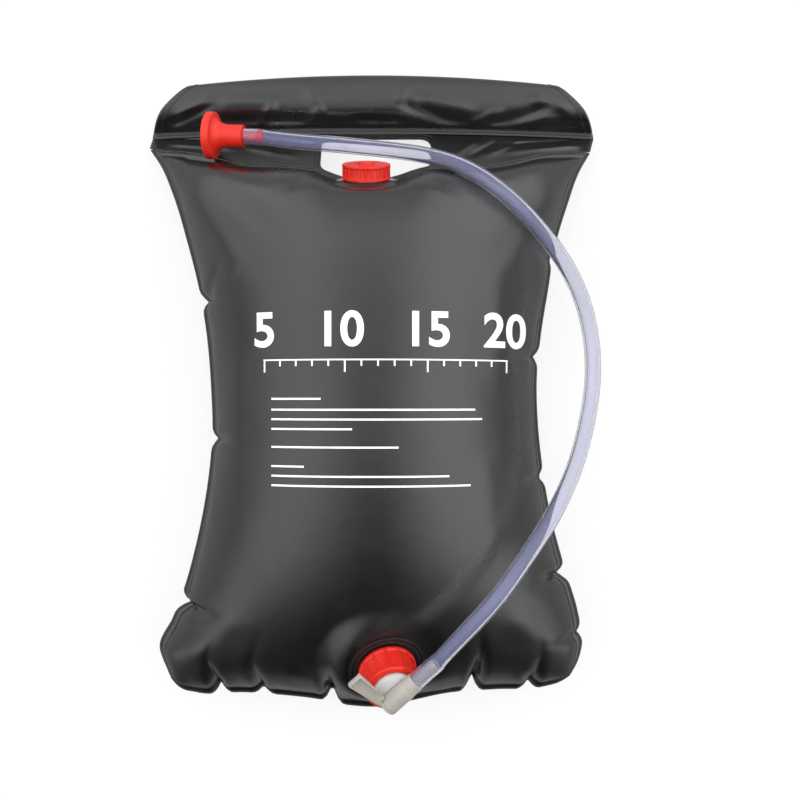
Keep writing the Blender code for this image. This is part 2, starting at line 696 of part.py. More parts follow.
def outlet_nut():
    edge = CAP_EDGE
    inside = OUTLET_NECK_RADIUS + THREAD_CLEARANCE
    slope = (NUT_BASE_RADIUS - NUT_TOP_RADIUS) / NUT_HEIGHT
    rim_low = NUT_BASE + NUT_RIM
    rim_high = NUT_TOP - NUT_RIM
    rim_radius = NUT_BASE_RADIUS - slope * NUT_RIM
    profile = (
        (NUT_HOLE_RADIUS, NUT_TOP), (NUT_TOP_RADIUS - edge, NUT_TOP),
        (NUT_TOP_RADIUS, NUT_TOP - edge), (NUT_TOP_RADIUS + slope * NUT_RIM, rim_high),
        (NUT_TOP_RADIUS + slope * NUT_RIM, rim_high - edge),
        (rim_radius - edge / 2, rim_low + edge), (rim_radius, rim_low),
        (NUT_BASE_RADIUS, NUT_BASE + edge), (NUT_BASE_RADIUS - edge, NUT_BASE),
        (inside, NUT_BASE), (inside, NUT_TOP - NUT_TOP_WALL),
        (NUT_HOLE_RADIUS, NUT_TOP - NUT_TOP_WALL),
    )
    steps = 3 * NUT_RIBS
    bm = turned(profile, steps, ring=True)
    low, high = rim_low + edge / 2, rim_high - edge / 2
    grip(bm, NUT_RIBS, steps, NUT_RIB_DEPTH, low, high, inside + edge)
    add_piece("outlet_nut", bm, RED_PLASTIC, OUTLET_FRAME)


def tap_adapter():
    bore = STUB_RADIUS + GAP
    rim = OUTLET_NECK_RADIUS - GAP
    dome = NUT_HOLE_RADIUS - GAP
    arc = []
    for k in range(DOME_STEPS + 1):
        angle = math.radians(90) * k / DOME_STEPS
        radius = bore + (dome - bore) * math.cos(angle)
        arc.append((radius, NUT_TOP + GAP + DOME_RISE * math.sin(angle)))
    profile = (
        (bore, ADAPTER_LOW), (rim, ADAPTER_LOW), (rim, ADAPTER_TOP), (dome, ADAPTER_TOP), *arc,
    )
    piece = add_piece(
        "tap_adapter", turned(profile, ring=True), MILKY_PLASTIC, OUTLET_FRAME
    )
    saddle = rod(BARREL_RADIUS + GAP, -OUTLET_NECK_RADIUS, OUTLET_NECK_RADIUS)
    combine(piece, "barrel_saddle", saddle, "DIFFERENCE", TAP_FRAME)


def tap_body():
    spigot_end = BARREL_FRONT + SPIGOT_LENGTH
    profile = (
        (PLUG_SEAT_RADIUS, -BARREL_BACK), (BARREL_RADIUS, -BARREL_BACK),
        (BARREL_RADIUS, BARREL_FRONT - BARREL_TAPER),
        (BARREL_RADIUS - SPIGOT_CHAMFER, BARREL_FRONT), (SPIGOT_RADIUS, BARREL_FRONT),
        (SPIGOT_RADIUS, spigot_end - SPIGOT_CHAMFER),
        (SPIGOT_RADIUS - SPIGOT_CHAMFER, spigot_end), (SPIGOT_BORE_RADIUS, spigot_end),
        (SPIGOT_BORE_RADIUS, PLUG_SEAT_END), (PLUG_SEAT_RADIUS, PLUG_SEAT_END),
    )
    piece = add_piece("tap_body", turned(profile, ring=True), CREAM_PLASTIC, TAP_FRAME)
    seat = TAP_AXIS_HEIGHT - (BARREL_RADIUS + PLUG_SEAT_RADIUS) / 2
    combine(piece, "inlet_stub", rod(STUB_RADIUS, ADAPTER_LOW, seat), "UNION", OUTLET_FRAME)
    bore = rod(STUB_BORE_RADIUS, ADAPTER_LOW - OVERRUN, TAP_AXIS_HEIGHT)
    combine(piece, "inlet_bore", bore, "DIFFERENCE", OUTLET_FRAME)


def tap_key():
    radius = PLUG_SEAT_RADIUS - GAP
    head = -BARREL_BACK - GAP
    back = head - KEY_HEAD_LENGTH
    groove = PLUG_GROOVE_PLACE
    half = O_RING_WIRE_RADIUS + 2 * O_RING_ROOM
    floor = PLUG_SEAT_RADIUS - 2 * O_RING_WIRE_RADIUS - 2 * O_RING_ROOM
    profile = (
        (0, back), (BARREL_RADIUS - 2 * KEY_HEAD_ROUND, back),
        (BARREL_RADIUS - KEY_HEAD_ROUND / 2, back + KEY_HEAD_ROUND / 2),
        (BARREL_RADIUS, back + KEY_HEAD_ROUND), (BARREL_RADIUS, head), (radius, head),
        (radius, -groove - half), (floor, -groove - half), (floor, half - groove),
        (radius, half - groove), (radius, PLUG_SEAT_END - GAP),
        (PLUG_BORE_RADIUS, PLUG_SEAT_END - GAP), (PLUG_BORE_RADIUS, -PLUG_FLOOR), (0, -PLUG_FLOOR),
    )
    piece = add_piece("tap_key", turned(profile), CREAM_PLASTIC, TAP_FRAME)
    # In the tap's frame Z runs along the barrel, Y along the lever and X towards the bag
    half_thick = LEVER_THICKNESS / 2
    inner = BARREL_RADIUS + GAP + SPIGOT_CHAMFER
    paddle = block((-half_thick, inner, back), (half_thick, LEVER_LENGTH, back + LEVER_WIDTH))
    tip = [e for e in paddle.edges if e.verts[0].co.y > inner and e.verts[1].co.y > inner]
    tip = [e for e in tip if abs(e.verts[0].co.x - e.verts[1].co.x) > half_thick]
    bmesh.ops.bevel(
        paddle, geom=tip, offset=LEVER_CORNER, segments=3, profile=0.5, affect="EDGES"
    )
    combine(piece, "lever_paddle", paddle, "UNION", TAP_FRAME)
    root = block((-half_thick, 0, back), (half_thick, inner + OVERRUN, head))
    combine(piece, "lever_root", root, "UNION", TAP_FRAME)
    recess = block(
        (-half_thick - OVERRUN, inner + LEVER_RIM, back + LEVER_RIM),
        (LEVER_RECESS - half_thick, LEVER_LENGTH - LEVER_RIM, back + LEVER_WIDTH - LEVER_RIM),
    )
    combine(piece, "lever_recess", recess, "DIFFERENCE", TAP_FRAME)
    port_frame = OUTLET_FRAME @ Matrix.Translation((PLUG_BORE_RADIUS - PLUG_FLOOR, 0, 0))
    port = rod(PLUG_PORT_RADIUS, TAP_AXIS_HEIGHT - BARREL_RADIUS, TAP_AXIS_HEIGHT)
    combine(piece, "plug_port", port, "DIFFERENCE", port_frame)


def o_ring(name, seat_radius, place, frame):
    """A seal ring that lies in a groove, just clear of the bore it seals."""
    middle = seat_radius - O_RING_ROOM - O_RING_WIRE_RADIUS
    profile = []
    for k in range(O_RING_SIDES):
        angle = math.tau * k / O_RING_SIDES
        profile.append((
            middle + O_RING_WIRE_RADIUS * math.cos(angle),
            place + O_RING_WIRE_RADIUS * math.sin(angle),
        ))
    add_piece(name, turned(profile, O_RING_STEPS, ring=True), SOFT_RUBBER, frame)


# Hose

# Route of the hose from the tap's shoulder to the shower head, every point laid by hand for a
# bag of this half length
ROUTE_HALF_LENGTH = 0.250
ROUTE_HALF_WIDTH = 0.198
HOSE_ROUTE = (
    (0.0775, -0.1635, 0.1620),
    (0.1015, -0.1415, 0.1590),
    (0.1175, -0.1210, 0.1510),
    (0.1335, -0.0990, 0.1410),
    (0.1500, -0.0795, 0.1280),
    (0.1640, -0.0570, 0.1130),
    (0.1785, -0.0305, 0.0970),
    (0.1880, -0.0020, 0.0830),
    (0.1955, 0.0270, 0.0730),
    (0.1990, 0.0565, 0.0680),
    (0.1955, 0.0895, 0.0690),
    (0.1880, 0.1155, 0.0760),
    (0.1780, 0.1355, 0.0850),
    (0.1665, 0.1510, 0.0950),
    (0.1525, 0.1660, 0.1070),
    (0.1360, 0.1835, 0.1180),
    (0.1170, 0.1995, 0.1290),
    (0.0945, 0.2170, 0.1275),
    (0.0715, 0.2320, 0.1090),
    (0.0475, 0.2425, 0.0875),
    (0.0220, 0.2485, 0.0755),
    (-0.0045, 0.2525, 0.0680),
    (-0.0305, 0.2560, 0.0655),
    (-0.0555, 0.2580, 0.0645),
    (-0.0780, 0.2590, 0.0645),
    (-0.0965, 0.2595, 0.0645),
)


def smooth_route(points):
    """Closely spaced points on a smooth curve through the route's own points."""
    fine = []
    padded = [2 * points[0] - points[1], *points, 2 * points[-1] - points[-2]]
    for a, b, c, d in zip(padded, padded[1:], padded[2:], padded[3:]):
        for t in np.linspace(0, 1, 12, endpoint=False):
            fine.append(0.5 * (
                2 * b + (c - a) * t + (2 * a - 5 * b + 4 * c - d) * t**2
                + (3 * b - a - 3 * c + d) * t**3
            ))
    return fine + [points[-1]]


def hose_points():
    """Stations of the hose: straight on both barbs, evenly spaced along the route between."""
    tap_end = TAP_FRAME @ Vector((0, 0, BARREL_FRONT + GAP))
    tap_axis = (TAP_FRAME.to_3x3() @ Vector((0, 0, 1))).normalized()
    head_axis = -(HEAD_FRAME.to_3x3() @ Vector((0, 0, 1))).normalized()
    head_end = HEAD_PLACE + head_axis * GAP
    cuff_run = SPIGOT_LENGTH + HOSE_END_SPACING
    barb_run = BARB_LENGTH + HOSE_END_SPACING
    start = [tap_end + tap_axis * run for run in (0, SPIGOT_LENGTH - GAP, cuff_run)]
    finish_run = [head_end + head_axis * run for run in (barb_run, BARB_LENGTH - GAP, 0)]
    stretch = HALF_LENGTH / ROUTE_HALF_LENGTH
    widen = HALF_WIDTH / ROUTE_HALF_WIDTH - 1
    between = []
    for k, (x, y, z) in enumerate(HOSE_ROUTE):
        x *= 1 + widen * k / (len(HOSE_ROUTE) - 1)
        between.append(Vector((x, y * stretch, z)))
    route = [start[0], start[2], *between, finish_run[0], finish_run[2]]
    fine = smooth_route(route)
    low = min(range(len(fine)), key=lambda k: (fine[k] - start[2]).length)
    high = min(range(len(fine)), key=lambda k: (fine[k] - finish_run[0]).length)
    free = fine[low : high + 1]
    runs = np.cumsum([0.0] + [(b - a).length for a, b in zip(free, free[1:])])
    count = round(runs[-1] / HOSE_POINT_SPACING)
    between = []
    for run in np.linspace(0, runs[-1], count + 1)[1:-1]:
        k = int(np.searchsorted(runs, run)) - 1
        between.append(free[k].lerp(free[k + 1], (run - runs[k]) / (runs[k + 1] - runs[k])))
    return start + between + finish_run


def tube_mesh(name, points, radius, end_radii):
    """A closed tube along the points, wider over both barbs."""
    curve = bpy.data.curves.new(name, "CURVE")
    curve.dimensions = "3D"
    curve.bevel_depth = radius
    curve.bevel_resolution = (HOSE_SIDES - 4) // 2
    curve.use_fill_caps = True
    spline = curve.splines.new("POLY")
    spline.points.add(len(points) - 1)
    for k, point in enumerate(points):
        spline.points[k].co = (*point, 1.0)
        spline.points[k].radius = 1.0
    for k in (0, 1):
        spline.points[k].radius = end_radii[0] / radius
        spline.points[-1 - k].radius = end_radii[1] / radius
    drawn = bpy.data.objects.new(name + "_curve", curve)
    bpy.context.scene.collection.objects.link(drawn)
    mesh = bpy.data.meshes.new_from_object(drawn.evaluated_get(bpy.context.evaluated_depsgraph_get()))
    bpy.data.objects.remove(drawn, do_unlink=True)
    bm = bmesh.new()
    bm.from_mesh(mesh)
    bpy.data.meshes.remove(mesh)
    bmesh.ops.remove_doubles(bm, verts=bm.verts, dist=MERGE_DISTANCE)
    return bm


def hose():
    points = hose_points()
    outside = tube_mesh("hose_outside", points, HOSE_RADIUS, (TAP_CUFF_RADIUS, HEAD_CUFF_RADIUS))
    piece = add_piece("hose", outside, CLEAR_HOSE)
    first = (points[0] - points[1]).normalized() * OVERRUN
    last = (points[-1] - points[-2]).normalized() * OVERRUN
    inner = [points[0] + first, *points[1:-1], points[-1] + last]
    flat = math.cos(math.pi / HOSE_SIDES)
    over_barbs = ((SPIGOT_RADIUS + GAP) / flat, (BARB_RADIUS + GAP) / flat)
    bore = tube_mesh("hose_bore", inner, HOSE_BORE_RADIUS, over_barbs)
    combine(piece, "hose_bore", bore, "DIFFERENCE")


# Shower head, drawn from the end of the hose towards the rose

def head_stem():
    half = O_RING_WIRE_RADIUS + 2 * O_RING_ROOM
    groove = STEM_GROOVE_PLACE
    floor = TRUMPET_BORE_RADIUS - 2 * O_RING_WIRE_RADIUS - 2 * O_RING_ROOM
    tip = STEM_LENGTH + STEM_TIP_LENGTH
    edge = SPIGOT_CHAMFER
    profile = (
        (0, STEM_LENGTH - STEM_END_WALL), (STEM_BORE_RADIUS, STEM_LENGTH - STEM_END_WALL),
        (STEM_BORE_RADIUS, -BARB_LENGTH), (BARB_RADIUS - edge, -BARB_LENGTH),
        (BARB_RADIUS, edge - BARB_LENGTH), (BARB_RADIUS, -GAP / 3), (STEM_RADIUS, 0),
        (STEM_RADIUS, groove - half), (floor, groove - half), (floor, groove + half),
        (STEM_RADIUS, groove + half), (STEM_RADIUS, STEM_LENGTH - edge),
        (STEM_RADIUS - edge, STEM_LENGTH), (STEM_TIP_RADIUS, STEM_LENGTH), (STEM_TIP_RADIUS, tip),
        (0, tip),
    )
    piece = add_piece("head_stem", turned(profile), RED_PLASTIC, HEAD_FRAME)
    for name, turn in (("port_across", 0), ("port_along", 90)):
        port = rod(STEM_PORT_RADIUS, -STEM_RADIUS - OVERRUN, STEM_RADIUS + OVERRUN, 8)
        place = Matrix.Translation((0, 0, STEM_LENGTH - 3 * STEM_PORT_RADIUS))
        turned_port = Matrix.Rotation(math.radians(turn), 4, "Z") @ Matrix.Rotation(
            math.radians(90), 4, "X"
        )
        combine(piece, name, port, "DIFFERENCE", HEAD_FRAME @ place @ turned_port)


def trumpet_mouth():
    """Height of the bottom of the recess that the rose plate drops into."""
    return TRUMPET_LENGTH - ROSE_INSET - ROSE_THICKNESS - GAP


def head_trumpet():
    wall_low = STEM_LENGTH + 2 * GAP
    wall_high = wall_low + TRUMPET_ORIFICE_WALL
    flare = []
    flare_run = TRUMPET_LENGTH - TRUMPET_RIM - TRUMPET_COLLAR_LENGTH
    for k in range(1, TRUMPET_FLARE_STEPS + 1):
        t = k / TRUMPET_FLARE_STEPS
        radius = TRUMPET_COLLAR_RADIUS + (TRUMPET_RADIUS - TRUMPET_COLLAR_RADIUS) * (
            1 - math.sqrt(1 - t * t)
        )
        flare.append((radius, TRUMPET_COLLAR_LENGTH + flare_run * t))
    lip = TRUMPET_RADIUS - TRUMPET_LIP
    seat = lip - TRUMPET_LIP
    edge = SPIGOT_CHAMFER
    profile = (
        (TRUMPET_BORE_RADIUS, edge), (TRUMPET_COLLAR_RADIUS, edge),
        (TRUMPET_COLLAR_RADIUS, TRUMPET_COLLAR_LENGTH), *flare,
        (TRUMPET_RADIUS, TRUMPET_LENGTH - edge), (TRUMPET_RADIUS - edge, TRUMPET_LENGTH),
        (lip, TRUMPET_LENGTH), (lip, trumpet_mouth()), (seat, trumpet_mouth()),
        (seat, trumpet_mouth() - TRUMPET_LIP), (TRUMPET_ORIFICE_RADIUS, wall_high),
        (TRUMPET_ORIFICE_RADIUS, wall_low), (TRUMPET_BORE_RADIUS, wall_low),
    )
    add_piece("head_trumpet", turned(profile, ring=True), RED_PLASTIC, HEAD_FRAME)


def rose_plate():
    low = trumpet_mouth() + GAP
    radius = TRUMPET_RADIUS - TRUMPET_LIP - GAP
    plate = rod(radius, low, low + ROSE_THICKNESS)
    piece = add_piece("rose_plate", plate, RED_PLASTIC, HEAD_FRAME)
    holes = bmesh.new()
    for count, ring_radius in ROSE_RINGS:
        for k in range(count):
            angle = math.tau * k / count
            place = (ring_radius * math.cos(angle), ring_radius * math.sin(angle), low)
            bmesh.ops.create_cone(
                holes, cap_ends=True, segments=ROSE_HOLE_SIDES, radius1=ROSE_HOLE_RADIUS,
                radius2=ROSE_HOLE_RADIUS, depth=3 * ROSE_THICKNESS, matrix=Matrix.Translation(place),
            )
    combine(piece, "spray_holes", holes, "DIFFERENCE", HEAD_FRAME)


front_panel()
back_panel()
handle_web()
handle_sleeve()
handle_tube()
filler()
outlet_neck()
outlet_gasket()
outlet_nut()
tap_adapter()
tap_body()
tap_key()
o_ring("plug_o_ring", PLUG_SEAT_RADIUS, -PLUG_GROOVE_PLACE, TAP_FRAME)
hose()
head_stem()
o_ring("head_o_ring", TRUMPET_BORE_RADIUS, STEM_GROOVE_PLACE, HEAD_FRAME)
head_trumpet()
rose_plate()
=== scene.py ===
import math

import bmesh
import bpy
import numpy as np
from mathutils import Matrix, Vector
from mathutils.bvhtree import BVHTree


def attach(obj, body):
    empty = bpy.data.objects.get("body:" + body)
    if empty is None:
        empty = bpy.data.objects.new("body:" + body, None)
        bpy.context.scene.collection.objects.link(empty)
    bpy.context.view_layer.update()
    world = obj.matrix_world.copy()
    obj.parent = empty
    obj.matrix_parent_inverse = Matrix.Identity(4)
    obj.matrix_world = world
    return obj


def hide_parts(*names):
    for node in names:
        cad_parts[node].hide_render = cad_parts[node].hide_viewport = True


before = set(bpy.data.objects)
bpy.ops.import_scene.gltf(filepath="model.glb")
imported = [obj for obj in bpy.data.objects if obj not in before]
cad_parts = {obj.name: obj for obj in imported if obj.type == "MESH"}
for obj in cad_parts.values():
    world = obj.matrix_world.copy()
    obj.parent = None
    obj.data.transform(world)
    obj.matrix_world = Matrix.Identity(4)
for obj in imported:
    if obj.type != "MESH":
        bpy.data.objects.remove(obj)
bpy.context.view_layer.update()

scene = bpy.context.scene
scene.view_settings.view_transform = "Standard"

# Sizes shared with the solids, in metres
GAP = 0.0003
FILM = 0.0006
HALF_WIDTH, HALF_LENGTH = 0.198, 0.250
SEAM_HEIGHT, CROWN_HEIGHT, CORNER_DROP = 0.060, 0.160, 0.030
WELD_WIDTH = 0.005
PUCKER_DEPTH, PUCKER_HALF_WIDTH, PUCKER_FADE_SHARE = 0.0175, 0.011, 0.17
SEAT_BLEND, RIM_DROOP = 0.026, 0.0046
LEFT_EDGE_SHARES = (
    (-0.896, -0.914), (-0.857, -0.936), (-0.778, -0.968), (-0.680, -0.909), (-0.569, -0.855),
    (-0.425, -0.805), (-0.270, -0.764), (-0.108, -0.736), (0.0, -0.727), (0.140, -0.732),
    (0.378, -0.759), (0.518, -0.791), (0.680, -0.845), (0.857, -0.918),
    (0.964, -0.980), (1.036, -1.040),
)
RIGHT_EDGE_SHARES = (
    (-0.886, 0.900), (-0.857, 0.923), (-0.781, 0.955), (-0.655, 0.936), (-0.522, 0.886),
    (-0.439, 0.855), (-0.295, 0.809), (-0.144, 0.777), (0.018, 0.755), (0.198, 0.750),
    (0.342, 0.768), (0.508, 0.802), (0.666, 0.836), (0.828, 0.900), (0.950, 0.960),
    (1.024, 1.015),
)
BOTTOM_EDGE_SHARES = (
    (-0.914, -0.896), (-0.882, -0.925), (-0.800, -0.947), (-0.582, -0.947), (-0.418, -0.956),
    (-0.259, -0.970), (-0.100, -0.994), (0.059, -0.997), (0.182, -0.976), (0.336, -0.950),
    (0.559, -0.936), (0.777, -0.927), (0.868, -0.904), (0.900, -0.886),
)
TOP_EDGE_SHARES = (
    (-1.040, 1.036), (-0.785, 1.003), (-0.600, 0.966), (-0.373, 0.947), (-0.234, 0.932),
    (-0.131, 0.900), (0.0, 0.886), (0.112, 0.905), (0.233, 0.938), (0.475, 0.945),
    (0.625, 0.967), (0.777, 1.003), (1.015, 1.024),
)
# Puckers: place along the edge, depth of the notch, lean, length and depth of the crease inwards
LEFT_PUCKERS = (
    (-0.616, 0.67, -0.15, 0.036, 0.0044), (-0.032, 0.36, 0.25, 0.024, 0.0030),
    (0.464, 0.41, 0.50, 0.030, 0.0038),
)
RIGHT_PUCKERS = (
    (-0.727, 0.28, -0.10, 0.022, 0.0028), (-0.515, 0.57, 0.10, 0.032, 0.0042),
    (-0.169, 0.33, -0.15, 0.028, 0.0034), (0.263, 0.31, 0.20, 0.026, 0.0030),
    (0.616, 0.20, 0.35, 0.028, 0.0022),
)
BOTTOM_PUCKERS = (
    (-0.686, 0.67, 0.15, 0.020, 0.0030), (-0.493, 0.46, -0.05, 0.022, 0.0034),
    (-0.180, 1.0, -0.10, 0.032, 0.0046), (0.450, 1.0, 0.05, 0.032, 0.0046),
    (0.708, 0.57, -0.20, 0.024, 0.0036),
)


def put(name, data):
    """A new object in the scene."""
    made = bpy.data.objects.new(name, data)
    scene.collection.objects.link(made)
    return made


# Camera

camera_data = bpy.data.cameras.new("photo_camera")
camera_data.lens, camera_data.sensor_width = 55.0, 36.0
camera = put("photo_camera", camera_data)
camera.location = (0.0252, 0.027, 1.160)
scene.camera = camera


# Materials

def link(tree, a, out, b, into):
    tree.links.new(a.outputs[out], b.inputs[into])


def give(node, values):
    for socket, value in values:
        node.inputs[socket].default_value = value


def add(tree, kind, values=(), links=(), operation=None):
    """A node with its own values, fed from other nodes: (node, output, input)."""
    node = tree.nodes.new(kind)
    if operation:
        node.operation = operation
    give(node, values)
    for source, out, socket in links:
        link(tree, source, out, node, socket)
    return node


def nodes_of(name):
    material = bpy.data.materials.new(name)
    material.use_nodes = True
    tree = material.node_tree
    return material, tree, tree.nodes["Principled BSDF"]


def noise(tree, scale, detail=2.0):
    """Noise over the object's own place."""
    place = add(tree, "ShaderNodeTexCoord")
    return add(
        tree, "ShaderNodeTexNoise", (("Scale", scale), ("Detail", detail)),
        ((place, "Object", "Vector"),),
    )


def spread(tree, source, low, high, into, socket):
    """Map noise onto a range of one socket."""
    ranged = add(
        tree, "ShaderNodeMapRange",
        (("From Min", 0.3), ("From Max", 0.7), ("To Min", low), ("To Max", high)),
        ((source, "Fac", "Value"),),
    )
    link(tree, ranged, "Result", into, socket)


def tones(tree, source, dark, light, into):
    """Two close tones of one colour, mixed by noise."""
    ramp = add(tree, "ShaderNodeValToRGB", links=((source, "Fac", "Fac"),))
    for k, place, tone in ((0, 0.35, dark), (1, 0.65, light)):
        end = ramp.color_ramp.elements[k]
        end.position, end.color = place, (*tone, 1.0)
    link(tree, ramp, "Color", into, "Base Color")


def bumps(tree, shader, *layers):
    """Stack of fine relief: (noise node, height in metres)."""
    last = None
    for source, height in layers:
        bump = add(
            tree, "ShaderNodeBump", (("Strength", 1.0), ("Distance", height)),
            ((source, "Fac", "Height"),),
        )
        if last:
            link(tree, last, "Normal", bump, "Normal")
        last = bump
    link(tree, last, "Normal", shader, "Normal")


def vinyl_film():
    """Black vinyl film: soft broad shine, slow waves and a faint pebble."""
    material, tree, shader = nodes_of("black_vinyl_film")
    tones(tree, noise(tree, 9.0, 3.0), (0.0042, 0.0041, 0.0044), (0.0070, 0.0068, 0.0073), shader)
    spread(tree, noise(tree, 14.0, 4.0), 0.25, 0.32, shader, "Roughness")
    bumps(tree, shader, (noise(tree, 26.0), 0.0006), (noise(tree, 420.0, 3.0), 0.00004))
    give(shader, (("IOR", 1.60), ("Specular IOR Level", 0.85)))
    return material


def moulded(name, dark, light, roughness, bump=0.00002, clear=0.0, depth=0.0):
    """Moulded plastic: close tones, faint orange peel, a roughness that wanders a little."""
    material, tree, shader = nodes_of(name)
    tones(tree, noise(tree, 40.0, 3.0), dark, light, shader)
    spread(tree, noise(tree, 90.0, 3.0), *roughness, shader, "Roughness")
    bumps(tree, shader, (noise(tree, 160.0), 4 * bump), (noise(tree, 1400.0), bump))
    give(shader, (("Transmission Weight", clear), ("IOR", 1.48)))
    if depth:
        give(shader, (
            ("Subsurface Weight", depth), ("Subsurface Radius", (0.004, 0.003, 0.003)),
            ("Subsurface Scale", 1.0),
        ))
    return material


def clear_vinyl():
    """Clear soft vinyl with a faint violet haze."""
    material, tree, shader = nodes_of("clear_vinyl_hose")
    tones(tree, noise(tree, 30.0, 3.0), (0.91, 0.91, 0.955), (0.94, 0.94, 0.975), shader)
    spread(tree, noise(tree, 60.0, 3.0), 0.04, 0.10, shader, "Roughness")
    bumps(tree, shader, (noise(tree, 300.0), 0.00002))
    give(shader, (
        ("Transmission Weight", 1.0), ("IOR", 1.45), ("Specular Tint", (0.55, 0.60, 1.0, 1)),
    ))
    haze = add(tree, "ShaderNodeBsdfDiffuse", (("Color", (0.42, 0.44, 0.70, 1)),))
    mix = add(
        tree, "ShaderNodeMixShader", (("Fac", 0.10),), ((shader, "BSDF", 1), (haze, "BSDF", 2))
    )
    link(tree, mix, "Shader", tree.nodes["Material Output"], "Surface")
    return material


FILM_LOOK = vinyl_film()
RED = moulded("red_moulding", (0.66, 0.017, 0.008), (0.72, 0.025, 0.012), (0.24, 0.36), depth=0.15)
BLACK = moulded("black_moulding", (0.010, 0.010, 0.011), (0.015, 0.015, 0.016), (0.15, 0.23))
CREAM = moulded(
    "cream_moulding", (0.41, 0.39, 0.35), (0.48, 0.46, 0.41), (0.30, 0.42), clear=0.12, depth=0.35
)
MILKY = moulded("milky_moulding", (0.80, 0.81, 0.80), (0.88, 0.88, 0.87), (0.30, 0.42), clear=0.45)
GREY = moulded("grey_tube", (0.17, 0.17, 0.17), (0.22, 0.22, 0.22), (0.40, 0.55), bump=0.00004)
SEAL = moulded("seal_rubber", (0.022, 0.022, 0.022), (0.035, 0.035, 0.035), (0.60, 0.75))
HOSE_LOOK = clear_vinyl()
PRINT = moulded("white_print", (0.92, 0.93, 0.93), (0.96, 0.97, 0.97), (0.40, 0.52))


# Making and placing pieces

def wear(piece, material, slot, body, *stands_for):
    """Give a finished piece its finish, its body and the solids that it stands for."""
    piece.data.materials.clear()
    piece.data.materials.append(material)
    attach(piece, body)
    if stands_for:
        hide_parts(*stands_for)
    return piece


def mesh_of(name, bm):
    """A mesh from a shape, which is used up."""
    mesh = bpy.data.meshes.new(name)
    bm.to_mesh(mesh)
    bm.free()
    return mesh


def poured(bm, mesh):
    """A shape with a mesh added, which is used up."""
    bm.from_mesh(mesh)
    bpy.data.meshes.remove(mesh)
    return bm


def shaded(mesh, angle):
    mesh.shade_smooth()
    mesh.set_sharp_from_angle(angle=math.radians(angle))


def piece_from(name, bm, angle=35, outward=True):
    """A smooth-shaded piece from a shape."""
    if outward:
        bmesh.ops.recalc_face_normals(bm, faces=bm.faces)
    mesh = mesh_of(name, bm)
    shaded(mesh, angle)
    return put(name, mesh)


def evaluated(piece):
    """A piece's shape with its modifiers, as a new mesh."""
    seen = piece.evaluated_get(bpy.context.evaluated_depsgraph_get())
    return bpy.data.meshes.new_from_object(seen)


def taken(piece):
    """The evaluated shape of a helper, which is used up."""
    mesh = evaluated(piece)
    bpy.data.objects.remove(piece, do_unlink=True)
    return mesh


def walled(piece, thickness, offset):
    """Give a sheet its thickness."""
    wall = piece.modifiers.new("film_wall", "SOLIDIFY")
    wall.thickness, wall.offset = thickness, offset


def fuse(piece, bm, operation):
    """Add a shape to a piece or cut it away."""
    change = piece.modifiers.new("change", "BOOLEAN")
    change.operation, change.solver = operation, "EXACT"
    change.object = piece_from("helper", bm)


def applied(piece):
    """Keep a piece's evaluated shape as its own mesh, and drop the helpers."""
    helpers = [change.object for change in piece.modifiers if change.type == "BOOLEAN"]
    mesh = evaluated(piece)
    piece.modifiers.clear()
    old, piece.data = piece.data, mesh
    bpy.data.meshes.remove(old)
    for helper in helpers:
        bpy.data.objects.remove(helper, do_unlink=True)
    return piece


def grid_mesh(points, closed_rows=False, closed_columns=False):
    """Quads over a grid of points (rows, columns, 3), joined round where asked."""
    rows, columns = points.shape[:2]
    bm = bmesh.new()
    verts = [bm.verts.new(point) for point in points.reshape(-1, 3).tolist()]
    for j in range(rows if closed_rows else rows - 1):
        for i in range(columns if closed_columns else columns - 1):
            a, b = j * columns + i, j * columns + (i + 1) % columns
            c, d = (j + 1) % rows * columns + (i + 1) % columns, (j + 1) % rows * columns + i
            bm.faces.new((verts[a], verts[b], verts[c], verts[d]))
    return bm


def frame_at(place, axis, side):
    """Placement whose Z runs along the axis and whose X is the side made square to it."""
    z = Vector(axis).normalized()
    side = Vector(side)
    x = (side - z * side.dot(z)).normalized()
    return Matrix.Translation(place) @ Matrix((x, z.cross(x), z)).transposed().to_4x4()


def eased(profile, radius, ring, steps=3):
    """Round the corners of a line of points with small arcs."""
    points = [np.array(p, float) for p in profile]
    result = []
    count = len(points)
    for k, corner in enumerate(points):
        if not ring and k in (0, count - 1):
            result.append(tuple(corner))
            continue
        before, after = points[k - 1] - corner, points[(k + 1) % count] - corner
        reach = min(radius, 0.4 * np.linalg.norm(before), 0.4 * np.linalg.norm(after))
        a = corner + before / np.linalg.norm(before) * reach
        b = corner + after / np.linalg.norm(after) * reach
        for t in np.linspace(0, 1, steps + 1):
            result.append(tuple((1 - t) ** 2 * a + 2 * t * (1 - t) * corner + t * t * b))
    return result


def turned(profile, steps=96, ring=True, ease=0.0004):
    """Spin a profile about Z. An open profile starts and ends on the axis."""
    line = eased(profile, ease, ring)
    bm = bmesh.new()
    points = [bm.verts.new((radius, 0, height)) for radius, height in line]
    ends = points[1:] + points[:1] if ring else points[1:]
    edges = [bm.edges.new(pair) for pair in zip(points, ends)]
    bmesh.ops.spin(
        bm, geom=points + edges, cent=(0, 0, 0), axis=(0, 0, 1), angle=math.tau, steps=steps,
        use_merge=True,
    )
    bmesh.ops.remove_doubles(bm, verts=bm.verts, dist=1e-6)
    return bm


def placed(bm, placement):
    bmesh.ops.transform(bm, matrix=placement, verts=bm.verts)
    return bm


